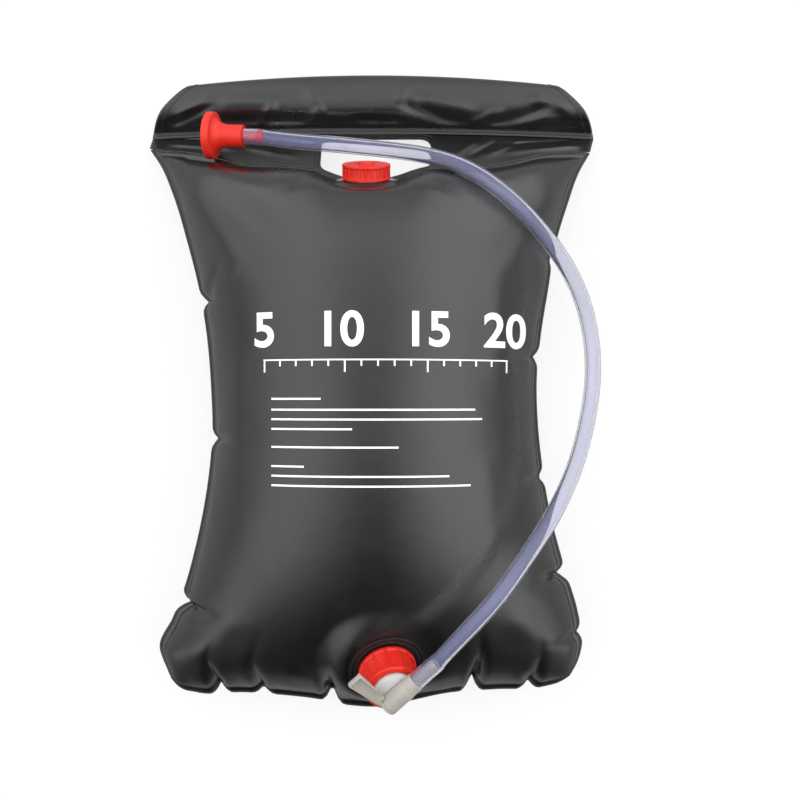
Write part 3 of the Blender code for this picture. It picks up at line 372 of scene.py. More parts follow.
FILLER_PLACE = Vector((-0.004, 0.216, 0.098))
FILLER_AXIS = Vector((0, math.sin(math.radians(71)), math.cos(math.radians(71))))
FILLER = frame_at(FILLER_PLACE, FILLER_AXIS, (1, 0, 0))
OUTLET_PLACE = Vector((0.0135, -0.201, 0.116))
OUTLET_AXIS = Vector((0.230, -0.494, 0.839)).normalized()
OUTLET = frame_at(OUTLET_PLACE, OUTLET_AXIS, (0.708, 0.676, 0.204))
TAP_RISE, TAP_FRONT = 0.0385, 0.023
TAP = OUTLET @ Matrix.Translation((0, 0, TAP_RISE)) @ Matrix.Rotation(math.radians(90), 4, "Y")
HEAD_PLACE = Vector((-0.1134, 0.2628, 0.0673))
HEAD = frame_at(HEAD_PLACE, (-0.979, 0.066, -0.191), (0, 0, 1))


# Shapes grown by node trees: ribs round an axis, and threads

def tree_with(name, sizes):
    """A modifier tree with its sizes as named inputs, and a geometry output."""
    tree = bpy.data.node_groups.new(name, "GeometryNodeTree")
    tree.interface.new_socket("Geometry", in_out="OUTPUT", socket_type="NodeSocketGeometry")
    for socket, value in sizes.items():
        kind = "NodeSocketInt" if isinstance(value, int) else "NodeSocketFloat"
        made = tree.interface.new_socket(socket, in_out="INPUT", socket_type=kind)
        made.default_value = value
    return tree, tree.nodes.new("NodeGroupInput")


def baked(tree, given, last, socket, material):
    """End a tree raised to its place, in real geometry with its own finish, and run it once."""
    lift = add(tree, "ShaderNodeCombineXYZ", links=((given, "Low", "Z"),))
    raised = add(tree, "GeometryNodeTransform", links=(
        (last, socket, "Geometry"), (lift, "Vector", "Translation"),
    ))
    real = add(tree, "GeometryNodeRealizeInstances", links=((raised, "Geometry", "Geometry"),))
    paint = add(
        tree, "GeometryNodeSetMaterial", (("Material", material),),
        ((real, "Geometry", "Geometry"),),
    )
    add(tree, "NodeGroupOutput", links=((paint, "Geometry", "Geometry"),))
    holder = put("holder", bpy.data.meshes.new("holder"))
    holder.modifiers.new(tree.name, "NODES").node_group = tree
    return taken(holder)


def ribs(material, **sizes):
    """Rounded upright bars set evenly round Z, leaning with a cone."""
    tree, given = tree_with("ribs_round_axis", sizes)
    ring = add(tree, "GeometryNodeMeshCircle", links=(
        (given, "Count", "Vertices"), (given, "Radius", "Radius"),
    ))
    bar = add(
        tree, "GeometryNodeMeshCylinder", (("Vertices", 12), ("Radius", 0.5), ("Depth", 1.0))
    )
    size = add(tree, "ShaderNodeCombineXYZ", links=(
        (given, "Depth", "X"), (given, "Width", "Y"), (given, "Height", "Z"),
    ))
    place = add(tree, "GeometryNodeInputPosition")
    apart = add(tree, "ShaderNodeSeparateXYZ", links=((place, "Position", "Vector"),))
    turn = add(tree, "ShaderNodeMath", (), ((apart, "Y", 0), (apart, "X", 1)), "ARCTAN2")
    facing = add(tree, "ShaderNodeCombineXYZ", links=((given, "Lean", "Y"), (turn, "Value", "Z")))
    copies = add(tree, "GeometryNodeInstanceOnPoints", links=(
        (ring, "Mesh", "Points"), (bar, "Mesh", "Instance"), (facing, "Vector", "Rotation"),
        (size, "Vector", "Scale"),
    ))
    return baked(tree, given, copies, "Instances", material)


def thread(material, **sizes):
    """A screw thread: a round bead wound up a cylinder."""
    tree, given = tree_with("screw_thread", sizes)
    spiral = add(tree, "GeometryNodeCurveSpiral", (("Resolution", 64),), (
        (given, "Turns", "Rotations"), (given, "Radius", "Start Radius"),
        (given, "Radius", "End Radius"), (given, "Rise", "Height"),
    ))
    bead = add(
        tree, "GeometryNodeCurvePrimitiveCircle", (("Resolution", 8),),
        ((given, "Bead", "Radius"),),
    )
    swept = add(tree, "GeometryNodeCurveToMesh", (("Fill Caps", True),), (
        (spiral, "Curve", "Curve"), (bead, "Curve", "Profile Curve"),
    ))
    return baked(tree, given, swept, "Mesh", material)


def joined(bm, mesh):
    """Add a baked mesh to a shape, its faces turned outwards."""
    extra = poured(bmesh.new(), mesh)
    bmesh.ops.recalc_face_normals(extra, faces=extra.faces)
    return poured(bm, mesh_of("extra", extra))


# Film bag

BOW_FADE = 6
ACROSS_POWERS, HANDLE_END_POWERS, TAP_END_POWERS = (2.2, 0.6), (6, 0.5), (3, 0.62)
# Creases: depth of crease and lobes as shares, and the way in over which they deepen
CREASE_SHARE, LOBE_SHARE, CREASE_RISE = 0.75, 0.40, 0.006
# Width of a crease at the weld and its growth inwards; place and width of a lobe in crease widths
CREASE_WIDTH, CREASE_GROWTH, LOBE_PLACE, LOBE_WIDTH = 0.0028, 0.075, 2.0, 1.2
# Back: how soon it lies flat, how deep its creases are, and how high they reach
FLAT_SPREAD, BACK_CREASE_SHARE, BACK_CREASE_TOP = 1.5, 0.7, 0.02
FITTINGS = ((FILLER_PLACE, FILLER_AXIS, 0.027), (OUTLET_PLACE, OUTLET_AXIS, 0.033))
SEAT_DEPTH, SEAT_LAP = 0.01, 0.005


def on_curve(curve, places):
    """Distances that a smooth curve through (place, distance) points has at places."""
    points, distances = np.array(curve).T
    slopes = np.gradient(distances, points)
    first = np.clip(np.searchsorted(points, places) - 1, 0, len(points) - 2)
    span = points[first + 1] - points[first]
    t = (places - points[first]) / span
    return (
        (2 * t**3 - 3 * t**2 + 1) * distances[first] + (t**3 - 2 * t**2 + t) * span * slopes[first]
        + (3 * t**2 - 2 * t**3) * distances[first + 1] + (t**3 - t**2) * span * slopes[first + 1]
    )


def bow(curve, share):
    """How far an edge stands off the straight line between its ends."""
    place = curve[0][0] + (curve[-1][0] - curve[0][0]) * share
    return on_curve(curve, place) - (curve[0][1] + (curve[-1][1] - curve[0][1]) * share)


def run_of(curve, length):
    return (curve[-1][0] - curve[0][0]) * length


def pinch(curve, puckers, length, share, inward):
    """How far the puckers draw one edge in."""
    run = run_of(curve, length)
    depth = 0.0
    for place, deepest, *_ in puckers:
        centre = (place - curve[0][0]) / (curve[-1][0] - curve[0][0])
        near = np.clip(1 - np.abs(share - centre) * run / PUCKER_HALF_WIDTH, 0, None)
        depth = depth + PUCKER_DEPTH * deepest * near**2
    return depth * np.clip(1 - inward / PUCKER_FADE_SHARE, 0, None) ** 2


def plan(s, t):
    """Places in plan of points of the film, from shares across and along the bag."""
    bottom, top = BOTTOM_EDGE_SHARES, TOP_EDGE_SHARES
    low = [bottom[0][k] + (bottom[-1][k] - bottom[0][k]) * s for k in (0, 1)]
    high = [top[0][k] + (top[-1][k] - top[0][k]) * s for k in (0, 1)]
    x, y = [low[k] + (high[k] - low[k]) * t for k in (0, 1)]
    y = y + bow(bottom, s) * (1 - t) ** BOW_FADE + bow(top, s) * t**BOW_FADE
    x = x + bow(LEFT_EDGE_SHARES, t) * (1 - s) ** 2 + bow(RIGHT_EDGE_SHARES, t) * s**2
    x, y = x * HALF_WIDTH, y * HALF_LENGTH
    x = x + pinch(LEFT_EDGE_SHARES, LEFT_PUCKERS, HALF_LENGTH, t, s)
    x = x - pinch(RIGHT_EDGE_SHARES, RIGHT_PUCKERS, HALF_LENGTH, t, 1 - s)
    y = y + pinch(bottom, BOTTOM_PUCKERS, HALF_WIDTH, s, t)
    return x, y


def seam_height(x, y):
    drop = (x / HALF_WIDTH) ** 2 * np.clip(y / HALF_LENGTH, 0, None) ** 4
    return SEAM_HEIGHT - CORNER_DROP * np.clip(drop, 0, 1)


def rounded(q, powers):
    return (1 - q ** powers[0]) ** powers[1]


def swell(s, t):
    """How full the bag is: 0 on the welds, 1 in the middle."""
    u = (2 * s - 1) / (1 - 2 * WELD_WIDTH / run_of(BOTTOM_EDGE_SHARES, HALF_WIDTH))
    v = (2 * t - 1) / (1 - 2 * WELD_WIDTH / run_of(LEFT_EDGE_SHARES, HALF_LENGTH))
    u, v = np.clip(np.abs(u), 0, 1), np.clip(v, -1, 1)
    end = np.where(v > 0, rounded(v, HANDLE_END_POWERS), rounded(np.abs(v), TAP_END_POWERS))
    return rounded(u, ACROSS_POWERS) * end


def smooth(q):
    q = np.clip(q, 0, 1)
    return q * q * (3 - 2 * q)


def shares(curve, length, cells):
    """Shares along an edge: close rows over both welds, close rows just inside, even rows on."""
    weld = WELD_WIDTH / run_of(curve, length)
    band = weld * np.array((0, 0.25, 0.5, 0.75, 1.0))
    even = np.linspace(0, 1, cells + 1)
    inner = weld + (1 - 2 * weld) * (0.75 * even + 0.25 * (1 - np.cos(np.pi * even)) / 2)
    return np.concatenate((band[:-1], inner, 1 - band[::-1][1:]))


def creases(X, Y):
    """Depth of the creases that run in from the puckers, and the lobes between them."""
    sink = np.zeros_like(X)
    for edge, puckers, length, inward in (
        (LEFT_EDGE_SHARES, LEFT_PUCKERS, HALF_LENGTH, X - X[:, :1]),
        (RIGHT_EDGE_SHARES, RIGHT_PUCKERS, HALF_LENGTH, X[:, -1:] - X),
        (BOTTOM_EDGE_SHARES, BOTTOM_PUCKERS, HALF_WIDTH, Y - Y[:1, :]),
    ):
        along = X if edge is BOTTOM_EDGE_SHARES else Y
        rise = smooth((inward - WELD_WIDTH) / CREASE_RISE)
        for place, _, lean, reach, depth in puckers:
            across = along - place * length - lean * inward
            width = CREASE_WIDTH + CREASE_GROWTH * inward
            deep = depth * rise * (1 - smooth(inward / reach))
            sink += CREASE_SHARE * deep * np.exp(-((across / width) ** 2))
            for side in (-1, 1):
                lobe = (across - side * LOBE_PLACE * width) / (LOBE_WIDTH * width)
                sink -= LOBE_SHARE * deep * np.exp(-(lobe**2))
    return sink


# Long soft folds on the front, in mm: two ends, half width and height; hollows below nothing
FRONT_FOLDS = (
    (-172, 225, -95, 120, 11, 2), (-150, 232, -60, 150, 10, -1.4), (-186, 205, -140, 90, 7, 1.4),
    (170, 226, 105, 120, 11, 2), (150, 232, 70, 160, 10, -1.2), (182, 205, 140, 90, 7, 1.4),
    (-150, 115, -128, 148, 4, -1.2), (-128, 128, -108, 140, 3, 0.9),
    (-165, -205, -105, -150, 12, 1.6), (170, -200, 110, -150, 12, 1.6),
    (-78, -232, -66, -200, 12, 1.2), (62, -236, 60, -205, 12, 1.2), (105, 155, 112, 20, 12, 1.6),
    (96, -10, 104, -120, 12, 1.2), (-112, 85, -118, -60, 12, 1.4), (140, 85, 118, 60, 6, -1),
    (-40, 228, -85, 195, 6, -1), (35, 226, 80, 196, 6, -1), (-176, 244.5, -130, 244.5, 12, -1.9),
    (78, 222, 117, 194, 10, -1.4),
)


def folds(X, Y, lines):
    """Height of soft folds over places in plan."""
    rise = np.zeros_like(X)
    for ax, ay, bx, by, width, height in np.array(lines) / 1000:
        run = np.hypot(bx - ax, by - ay)
        along = ((X - ax) * (bx - ax) + (Y - ay) * (by - ay)) / run**2
        across = ((X - ax) * (by - ay) - (Y - ay) * (bx - ax)) / run
        taper = smooth(along / 0.25) * smooth((1 - along) / 0.35)
        rise += height * taper * np.exp(-((across / width) ** 2))
    return rise


def normals_of(points):
    down = np.gradient(points, axis=0)
    across = np.gradient(points, axis=1)
    normal = np.cross(across, down)
    return normal / np.maximum(np.linalg.norm(normal, axis=2, keepdims=True), 1e-12)


def seated(points, inside):
    """Draw the film onto the planes of the fittings."""
    for place, axis, radius in FITTINGS:
        place, axis = np.array(place), np.array(axis)
        offset = points - place
        rise = offset @ axis
        away = np.linalg.norm(offset - rise[..., None] * axis, axis=2)
        hold = (1 - smooth((away - radius) / SEAT_BLEND)) * inside
        points = points - (hold * rise)[..., None] * axis
    return points


def over_fitting(middle):
    """Whether a place lies over the hole that a fitting fills."""
    for place, axis, radius in FITTINGS:
        offset = middle - place
        rise = offset.dot(axis)
        if abs(rise) < SEAT_DEPTH and (offset - axis * rise).length < radius - SEAT_LAP:
            return True
    return False


def film_half(name, front, columns, rows, node):
    """One half of the bag, welded at the rim, with its puckers and soft folds."""
    s = shares(BOTTOM_EDGE_SHARES, HALF_WIDTH, columns)[None, :]
    low = shares(LEFT_EDGE_SHARES, HALF_LENGTH, rows)[:, None]
    high = shares(RIGHT_EDGE_SHARES, HALF_LENGTH, rows)[:, None]
    t = (1 - s) * low + s * high
    s = np.broadcast_to(s, t.shape)
    X, Y = plan(s, t)
    full = swell(s, t)
    seam = seam_height(X, Y)
    wall = GAP / 2 + FILM
    if front:
        Z = seam + wall + (CROWN_HEIGHT - SEAM_HEIGHT - wall) * full
    else:
        flat = np.minimum(FLAT_SPREAD * full, 1)
        Z = (seam - wall) * (1 - flat * (2 - flat))
    across = np.minimum(s, 1 - s) * run_of(BOTTOM_EDGE_SHARES, HALF_WIDTH)
    along = t * run_of(LEFT_EDGE_SHARES, HALF_LENGTH)
    Z = Z - RIM_DROOP * np.clip(1 - np.minimum(across, along) / WELD_WIDTH, 0, 1) ** 2
    points = np.stack((X, Y, Z), axis=2)
    normal = normals_of(points)
    if front:
        push = folds(X, Y, FRONT_FOLDS) - creases(X, Y)
    else:
        push = -BACK_CREASE_SHARE * creases(X, Y) * smooth(Z / BACK_CREASE_TOP)
        normal = -normal
    points = points + (push * (full > 0))[..., None] * normal
    if front:
        points = seated(points, full > 0)
    else:
        points[..., 2] = np.maximum(points[..., 2], 0)
    bm = grid_mesh(points)
    if front:
        gone = [face for face in bm.faces if over_fitting(face.calc_center_median())]
        bmesh.ops.delete(bm, geom=gone, context="FACES")
    else:
        bmesh.ops.reverse_faces(bm, faces=bm.faces)
    piece = piece_from(name, bm, angle=60, outward=False)
    walled(piece, FILM, -1)
    wear(piece, FILM_LOOK, "black_film", "bag", node)
    return piece, points


def tube_along(points, radii, sides=8, closed=False, capped=True):
    """A tube over a list of points, with no twist."""
    points = np.array(points, float)
    if closed:
        tangents = np.roll(points, -1, axis=0) - np.roll(points, 1, axis=0)
    else:
        tangents = np.gradient(points, axis=0)
    tangents /= np.maximum(np.linalg.norm(tangents, axis=1, keepdims=True), 1e-12)
    side = np.cross(tangents[0], (0.0, 0.0, 1.0))
    if np.linalg.norm(side) < 0.1:
        side = np.cross(tangents[0], (1.0, 0.0, 0.0))
    angles = math.tau * np.arange(sides) / sides
    rings = []
    for point, tangent, r in zip(points, tangents, np.broadcast_to(radii, len(points))):
        side = side - tangent * side.dot(tangent)
        side /= np.linalg.norm(side)
        other = np.cross(tangent, side)
        rings.append(point + r * (np.cos(angles)[:, None] * side + np.sin(angles)[:, None] * other))
    bm = grid_mesh(np.array(rings), closed_rows=closed, closed_columns=True)
    if capped and not closed:
        bm.verts.ensure_lookup_table()
        bm.faces.new([bm.verts[k] for k in range(sides)])
        last = (len(points) - 1) * sides
        bm.faces.new([bm.verts[last + k] for k in reversed(range(sides))])
    return bm


film_front, front_points = film_half("film_front", True, 170, 210, "front_panel")
film_half("film_back", False, 110, 130, "back_panel")


def outline(points, k):
    """The loop of grid points k rows in from the rim."""
    rows, columns = points.shape[:2]
    return np.concatenate((
        points[k, k : columns - k], points[k + 1 : rows - k, columns - 1 - k],
        points[rows - 1 - k, columns - 2 - k : k - 1 : -1], points[rows - 2 - k : k : -1, k],
    ))


def weld_lines(name, loops, radius, closed=False):
    """Raised beads that the welding bar leaves."""
    bm = bmesh.new()
    for loop in loops:
        poured(bm, mesh_of("bead", tube_along(loop, radius, sides=6, closed=closed)))
    wear(piece_from(name, bm, angle=80), FILM_LOOK, "black_film", "bag")


weld_lines("rim_weld_lines", [outline(front_points, k) for k in (1, 4)], 0.0005, closed=True)


def filler_collar():
    """Film welded over the near half of the filler's flange, down to the neck."""
    profile = (
        (0.0188, 0.0023), (0.0225, 0.0022), (0.0258, 0.0021), (0.0274, 0.0016), (0.0290, 0.0006),
        (0.0310, 0.0001), (0.0335, -0.0003),
    )
    start, sweep = math.radians(-170), math.radians(160)
    bm = bmesh.new()
    points = [
        bm.verts.new((radius * math.cos(start), radius * math.sin(start), rise))
        for radius, rise in profile
    ]
    edges = [bm.edges.new(pair) for pair in zip(points, points[1:])]
    bmesh.ops.spin(
        bm, geom=points + edges, cent=(0, 0, 0), axis=(0, 0, 1), angle=sweep, steps=60,
        use_merge=False,
    )
    piece = piece_from("filler_film_collar", placed(bm, FILLER), angle=60)
    walled(piece, FILM, 0)
    wear(piece, FILM_LOOK, "black_film", "bag")


filler_collar()


# Hose, on the same route as the solid

HOSE_DIAMETER, HOSE_BORE_RADIUS, HOSE_FREE_SWELL, HOSE_SMOOTHINGS = 0.0135, 0.0050, 0.0005, 160
SPIGOT_LENGTH, BARB_LENGTH, SPIGOT_CUFF, BARB_CUFF = 0.027, 0.021, 0.0009, 0.00045
BORE_CUFF_SHARE = 1.05
HOSE_ROUTE = (
    (0.0775, -0.1635, 0.1620), (0.1015, -0.1415, 0.1590), (0.1175, -0.1210, 0.1510),
    (0.1335, -0.0990, 0.1410), (0.1500, -0.0795, 0.1280), (0.1640, -0.0570, 0.1130),
    (0.1785, -0.0305, 0.0970), (0.1880, -0.0020, 0.0830), (0.1955, 0.0270, 0.0730),
    (0.1990, 0.0565, 0.0680), (0.1955, 0.0895, 0.0690), (0.1880, 0.1155, 0.0760),
    (0.1780, 0.1355, 0.0850), (0.1665, 0.1510, 0.0950), (0.1525, 0.1660, 0.1070),
    (0.1360, 0.1835, 0.1180), (0.1170, 0.1995, 0.1290), (0.0945, 0.2170, 0.1275),
    (0.0715, 0.2320, 0.1090), (0.0475, 0.2425, 0.0875), (0.0220, 0.2485, 0.0755),
    (-0.0045, 0.2525, 0.0680), (-0.0305, 0.2560, 0.0655), (-0.0555, 0.2580, 0.0645),
    (-0.0780, 0.2590, 0.0645), (-0.0965, 0.2595, 0.0645),
)


def smooth_route(points, steps):
    """Closely spaced points on a smooth curve through the route's own points."""
    fine = []
    padded = [2 * points[0] - points[1], *points, 2 * points[-1] - points[-2]]
    for a, b, c, d in zip(padded, padded[1:], padded[2:], padded[3:]):
        for t in np.linspace(0, 1, steps, endpoint=False):
            fine.append(0.5 * (
                2 * b + (c - a) * t + (2 * a - 5 * b + 4 * c - d) * t**2
                + (3 * b - a - 3 * c + d) * t**3
            ))
    return fine + [points[-1]]


def runs_along(points):
    """Distances along a line of points."""
    return np.concatenate(([0], np.cumsum(np.linalg.norm(np.diff(points, axis=0), axis=1))))


def resampled(points, count):
    """A line's points spread evenly, and the distance of each."""
    points = np.array(points)
    runs = runs_along(points)
    even = np.linspace(0, runs[-1], count)
    spread_out = [np.interp(even, runs, points[:, k]) for k in range(points.shape[1])]
    return np.stack(spread_out, axis=1), even


def hose_path():
    """The hose's middle line: straight over spigot and barb, evenly curved between them."""
    tap_axis = np.array(TAP.to_3x3() @ Vector((0, 0, 1)))
    head_axis = -np.array(HEAD.to_3x3() @ Vector((0, 0, 1)))
    start = np.array(TAP @ Vector((0, 0, TAP_FRONT + GAP)))
    end = np.array(HEAD_PLACE) + head_axis * GAP
    first = [start + tap_axis * run for run in (0, SPIGOT_LENGTH / 2, SPIGOT_LENGTH)]
    last = [end + head_axis * run for run in (BARB_LENGTH, BARB_LENGTH / 2, 0)]
    middle = [
        np.array(p) for p in HOSE_ROUTE
        if (p - last[0]) @ head_axis > 0.012 and (p - first[-1]) @ tap_axis > 0.006
    ]
    line, even = resampled(smooth_route([*first, *middle, *last], 14), 330)
    loose = smooth((even - 0.022) / 0.02) * smooth((even[-1] - even - 0.007) / 0.022)
    for _ in range(HOSE_SMOOTHINGS):
        line[1:-1] += 0.5 * loose[1:-1, None] * ((line[:-2] + line[2:]) / 2 - line[1:-1])
    return line, float(runs_along(line)[-1])


def clear_hose():
    """A clear wall with a bore, wider over the spigot and the barb."""
    path, length = hose_path()
    runs = np.linspace(0, length, len(path))
    back = length - runs
    cuff = np.maximum(
        SPIGOT_CUFF * (1 - smooth((runs - 0.0225) / 0.005)),
        BARB_CUFF * (1 - smooth((back - 0.0165) / 0.005)),
    )
    loose = smooth((runs - 0.03) / 0.04) * smooth((back - 0.02) / 0.03)
    skin = HOSE_DIAMETER / 2 + cuff + HOSE_FREE_SWELL * loose
    bm = bmesh.new()
    for radii, inner in ((skin, False), (HOSE_BORE_RADIUS + BORE_CUFF_SHARE * cuff, True)):
        shell = tube_along(path, radii, sides=28, capped=False)
        bmesh.ops.recalc_face_normals(shell, faces=shell.faces)
        shell.faces.ensure_lookup_table()
        sample = shell.faces[14]
        spot = sample.calc_center_median()
        nearest = min(path, key=lambda p: (Vector(p) - spot).length)
        faces_out = sample.normal.dot(spot - Vector(nearest)) > 0
        if faces_out == inner:
            bmesh.ops.reverse_faces(shell, faces=shell.faces)
        poured(bm, mesh_of("hose_shell", shell))
    rims = [edge for edge in bm.edges if edge.is_boundary]
    for end in (path[0], path[-1]):
        ring = [edge for edge in rims if (edge.verts[0].co - Vector(end)).length < 0.02]
        bmesh.ops.bridge_loops(bm, edges=ring)
    hose = piece_from("clear_hose", bm, angle=50, outward=False)
    return wear(hose, HOSE_LOOK, "clear_hose", "bag", "hose"), path, length


hose, path, hose_length = clear_hose()


# Handle: web with its hand hole, sleeve and tube

TUBE_MIDDLE_Y, SLEEVE_SEAM_Y, SLEEVE_SEAM_HEIGHT, SLEEVE_SEAM_SAG = 0.308, 0.276, 0.0165, 0.005
SLEEVE_HALF_LENGTH, SLEEVE_MOUTH_SETBACK, SLEEVE_FULLNESS = 0.206, 0.036, 0.0095
HOLE_LEFT, HOLE_RIGHT, HOLE_FAR = -0.047, 0.054, 0.2695
HOLE_STRIP, HOLE_CORNER, WEB_ROOM, WEB_THICKNESS = 0.003, 0.012, 0.0004, 0.0012
TUBE_RADIUS, SLEEVE_RING, SLEEVE_TOP_COLUMNS = 0.0125, 96, 46
# Upper side of the sleeve: share of the way to the tube, and height
SLEEVE_TOP_SHARES = (
    (0.14, 0.0182), (0.27, 0.0224), (0.40, 0.0264), (0.53, 0.0286), (0.70, 0.0293),
)


def sleeve_seam_y(x):
    return SLEEVE_SEAM_Y - SLEEVE_SEAM_SAG * (x / SLEEVE_HALF_LENGTH) ** 2


# Web folds in mm, from the ends of the top weld towards the sleeve
WEB_FOLDS = (
    (-196, 266, -116, 256, 3, 1.8), (-186, 271, -96, 266, 2.6, -1.6),
    (-124, 262, -62, 246, 3.4, 1.4), (-100, 270, -80, 246, 3.4, -1.2),
    (196, 264, 112, 252, 3.2, 2.4), (190, 268, 104, 262, 2.8, -2), (140, 270, 98, 246, 3.4, 1.8),
    (120, 270, 84, 246, 3, -1.6), (100, 271, 70, 246, 3.4, 1.2), (-156, 271, -130, 258, 3, 1.2),
)

samples = np.linspace(0, 1, 400)
top_x, top_y = plan(samples, np.ones_like(samples))


def web_points(x, share):
    """A point of the web at a place across and a share of the way to the sleeve."""
    s = np.interp(x, top_x, samples)
    near_x, near_y = plan(s, np.ones_like(s))
    room = GAP + WEB_ROOM
    near = np.stack((near_x, near_y + room, seam_height(near_x, near_y)), axis=-1)
    far_x = SLEEVE_HALF_LENGTH * (2 * (x - top_x[0]) / (top_x[-1] - top_x[0]) - 1)
    far = np.stack(
        (far_x, sleeve_seam_y(far_x) - room, np.full_like(far_x, SLEEVE_SEAM_HEIGHT)), axis=-1
    )
    return near + (far - near) * share[..., None]


def hole_sides(grow):
    """Right, far and left sides of the hand hole in plan, grown outwards."""
    ends = np.array((HOLE_RIGHT + grow, HOLE_LEFT - grow))
    near = np.interp(ends, top_x, top_y) + HOLE_STRIP
    return [
        (ends[0], near[0]), (ends[0], HOLE_FAR + grow), (ends[1], HOLE_FAR + grow),
        (ends[1], near[1]),
    ]


def hole_cutter():
    """A block over the whole hand hole: its near side follows the top weld of the bag."""
    x = np.linspace(HOLE_LEFT, HOLE_RIGHT, 8)[1:-1]
    near = np.interp(x, top_x, top_y) + HOLE_STRIP
    loop = eased(hole_sides(0) + list(zip(x, near)), HOLE_CORNER, True, 10)
    bm = bmesh.new()
    face = bm.faces.new([bm.verts.new((x, y, -0.05)) for x, y in loop])
    grown = bmesh.ops.extrude_face_region(bm, geom=[face])["geom"]
    top = [part for part in grown if isinstance(part, bmesh.types.BMVert)]
    bmesh.ops.translate(bm, vec=(0, 0, 0.2), verts=top)
    return bm


def handle_web():
    X, S = np.meshgrid(np.linspace(top_x[0], top_x[-1], 241), np.linspace(0, 1, 45))
    points = web_points(X, S)
    edge = smooth(S / 0.12) * smooth((1 - S) / 0.12)
    points[..., 2] += folds(points[..., 0], points[..., 1], WEB_FOLDS) * edge
    piece = piece_from("handle_web_film", grid_mesh(points), angle=60, outward=False)
    walled(piece, WEB_THICKNESS, 0)
    fuse(piece, hole_cutter(), "DIFFERENCE")
    wear(applied(piece), FILM_LOOK, "black_film", "bag", "handle_web")
    tree = BVHTree.FromObject(piece, bpy.context.evaluated_depsgraph_get())
    loops = []
    for grow in (0.0022, 0.0052):
        sides = eased(hole_sides(grow), HOLE_CORNER + grow, False, 12)
        hits = [tree.ray_cast(Vector((x, y, 0.3)), Vector((0, 0, -1)))[0] for x, y in sides]
        loops.append([hit for hit in hits if hit])
    weld_lines("hand_hole_weld_lines", loops, 0.00045)


handle_web()


def sleeve_outline():
    """Outline of the sleeve as (reach from its weld, height), round the tube and back."""
    radius = TUBE_RADIUS + 2 * GAP + FILM
    reach = TUBE_MIDDLE_Y - SLEEVE_SEAM_Y
    weld = 3 * FILM / 2
    upper = [(0, SLEEVE_SEAM_HEIGHT + weld), (0.005, SLEEVE_SEAM_HEIGHT + weld)]
    upper += [(share * reach, height) for share, height in SLEEVE_TOP_SHARES]
    upper.append((0.88 * reach, 2 * radius + 0.0012))
    lower = [
        (0.80 * reach, 0), (0.55 * reach, 0.12 * radius + weld),
        (0.32 * reach, 0.60 * SLEEVE_SEAM_HEIGHT), (0.005, SLEEVE_SEAM_HEIGHT - weld),
        (0, SLEEVE_SEAM_HEIGHT - weld),
    ]
    angles = math.radians(90) - math.pi * np.arange(19) / 18
    arc = [(reach + radius * math.cos(a), radius + radius * math.sin(a)) for a in angles]
    line, _ = resampled(upper + arc + lower, SLEEVE_RING)
    for _ in range(3):
        line[1:-1] = 0.5 * line[1:-1] + 0.25 * (line[:-2] + line[2:])
    return line, reach + radius


# Slack folds on the upper side of the sleeve, in mm
SLEEVE_FOLDS = (
    (-182, 288, -30, 287, 4.6, -2.4), (-150, 304, -75, 302, 6, 1.4),
    (-194, 281, -146, 300, 3.4, -2.2), (-186, 288, -140, 310, 4.6, 1.8),
    (-108, 279, -88, 304, 4.2, 2), (-62, 280, -44, 302, 4.8, 1.8), (-26, 288, 40, 287, 4.4, -1.4),
    (20, 302, 92, 283, 5.2, -3), (34, 308, 104, 292, 5, 1.8), (84, 280, 124, 297, 4.2, 2.2),
    (100, 282, 172, 300, 4.6, -3), (128, 280, 176, 291, 3.6, 2), (142, 308, 190, 293, 4.8, 1.8),
    (152, 279, 200, 284, 3.2, -1.8), (-60, 316, -50, 298, 6, 0.9), (30, 318, 22, 300, 6, 0.9),
)


def handle_sleeve():
    line, total = sleeve_outline()
    reach, height = line.T
    across = np.linspace(-1, 1, 221)[:, None]
    length = SLEEVE_HALF_LENGTH - SLEEVE_MOUTH_SETBACK * (reach / total) ** 1.5
    X = across * length
    slack = (SLEEVE_SEAM_Y - sleeve_seam_y(X)) * np.clip(1 - reach / 0.0192, 0, None)
    full = SLEEVE_FULLNESS * (1 - across**2) * (reach / total)
    Y = SLEEVE_SEAM_Y + reach + full - slack
    points = np.stack((X, Y, np.broadcast_to(height, X.shape)), axis=2)
    upper = (np.arange(SLEEVE_RING) < SLEEVE_TOP_COLUMNS) * smooth((reach - 0.004) / 0.006)
    mouth = smooth((1 - np.abs(across)) * length / 0.012)
    points[..., 2] += folds(X, Y, SLEEVE_FOLDS) * upper * mouth
    bm = grid_mesh(points, closed_columns=True)
    piece = piece_from("handle_sleeve_film", bm, angle=60, outward=False)
    middle = piece.data.polygons[40 * SLEEVE_RING + 20]
    if middle.normal.z < 0:
        piece.data.flip_normals()
    walled(piece, FILM, -1)
    wear(piece, FILM_LOOK, "black_film", "bag", "handle_sleeve")
    raised = (0, 0, 0.0002)
    loops = [points[end, 2:50] + raised for end in (4, 216)]
    loops += [points[2:-2, k] + raised + (0, out, 0) for k, out in ((1, 0.0008), (4, 0.0012))]
    weld_lines("sleeve_weld_lines", loops, 0.0004)


handle_sleeve()
for node, look in (
    ("handle_tube", GREY), ("filler_gasket", SEAL), ("outlet_gasket", SEAL), ("plug_o_ring", SEAL),
    ("head_o_ring", SEAL),
):
    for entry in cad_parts[node].material_slots:
        entry.material = look


# Filler

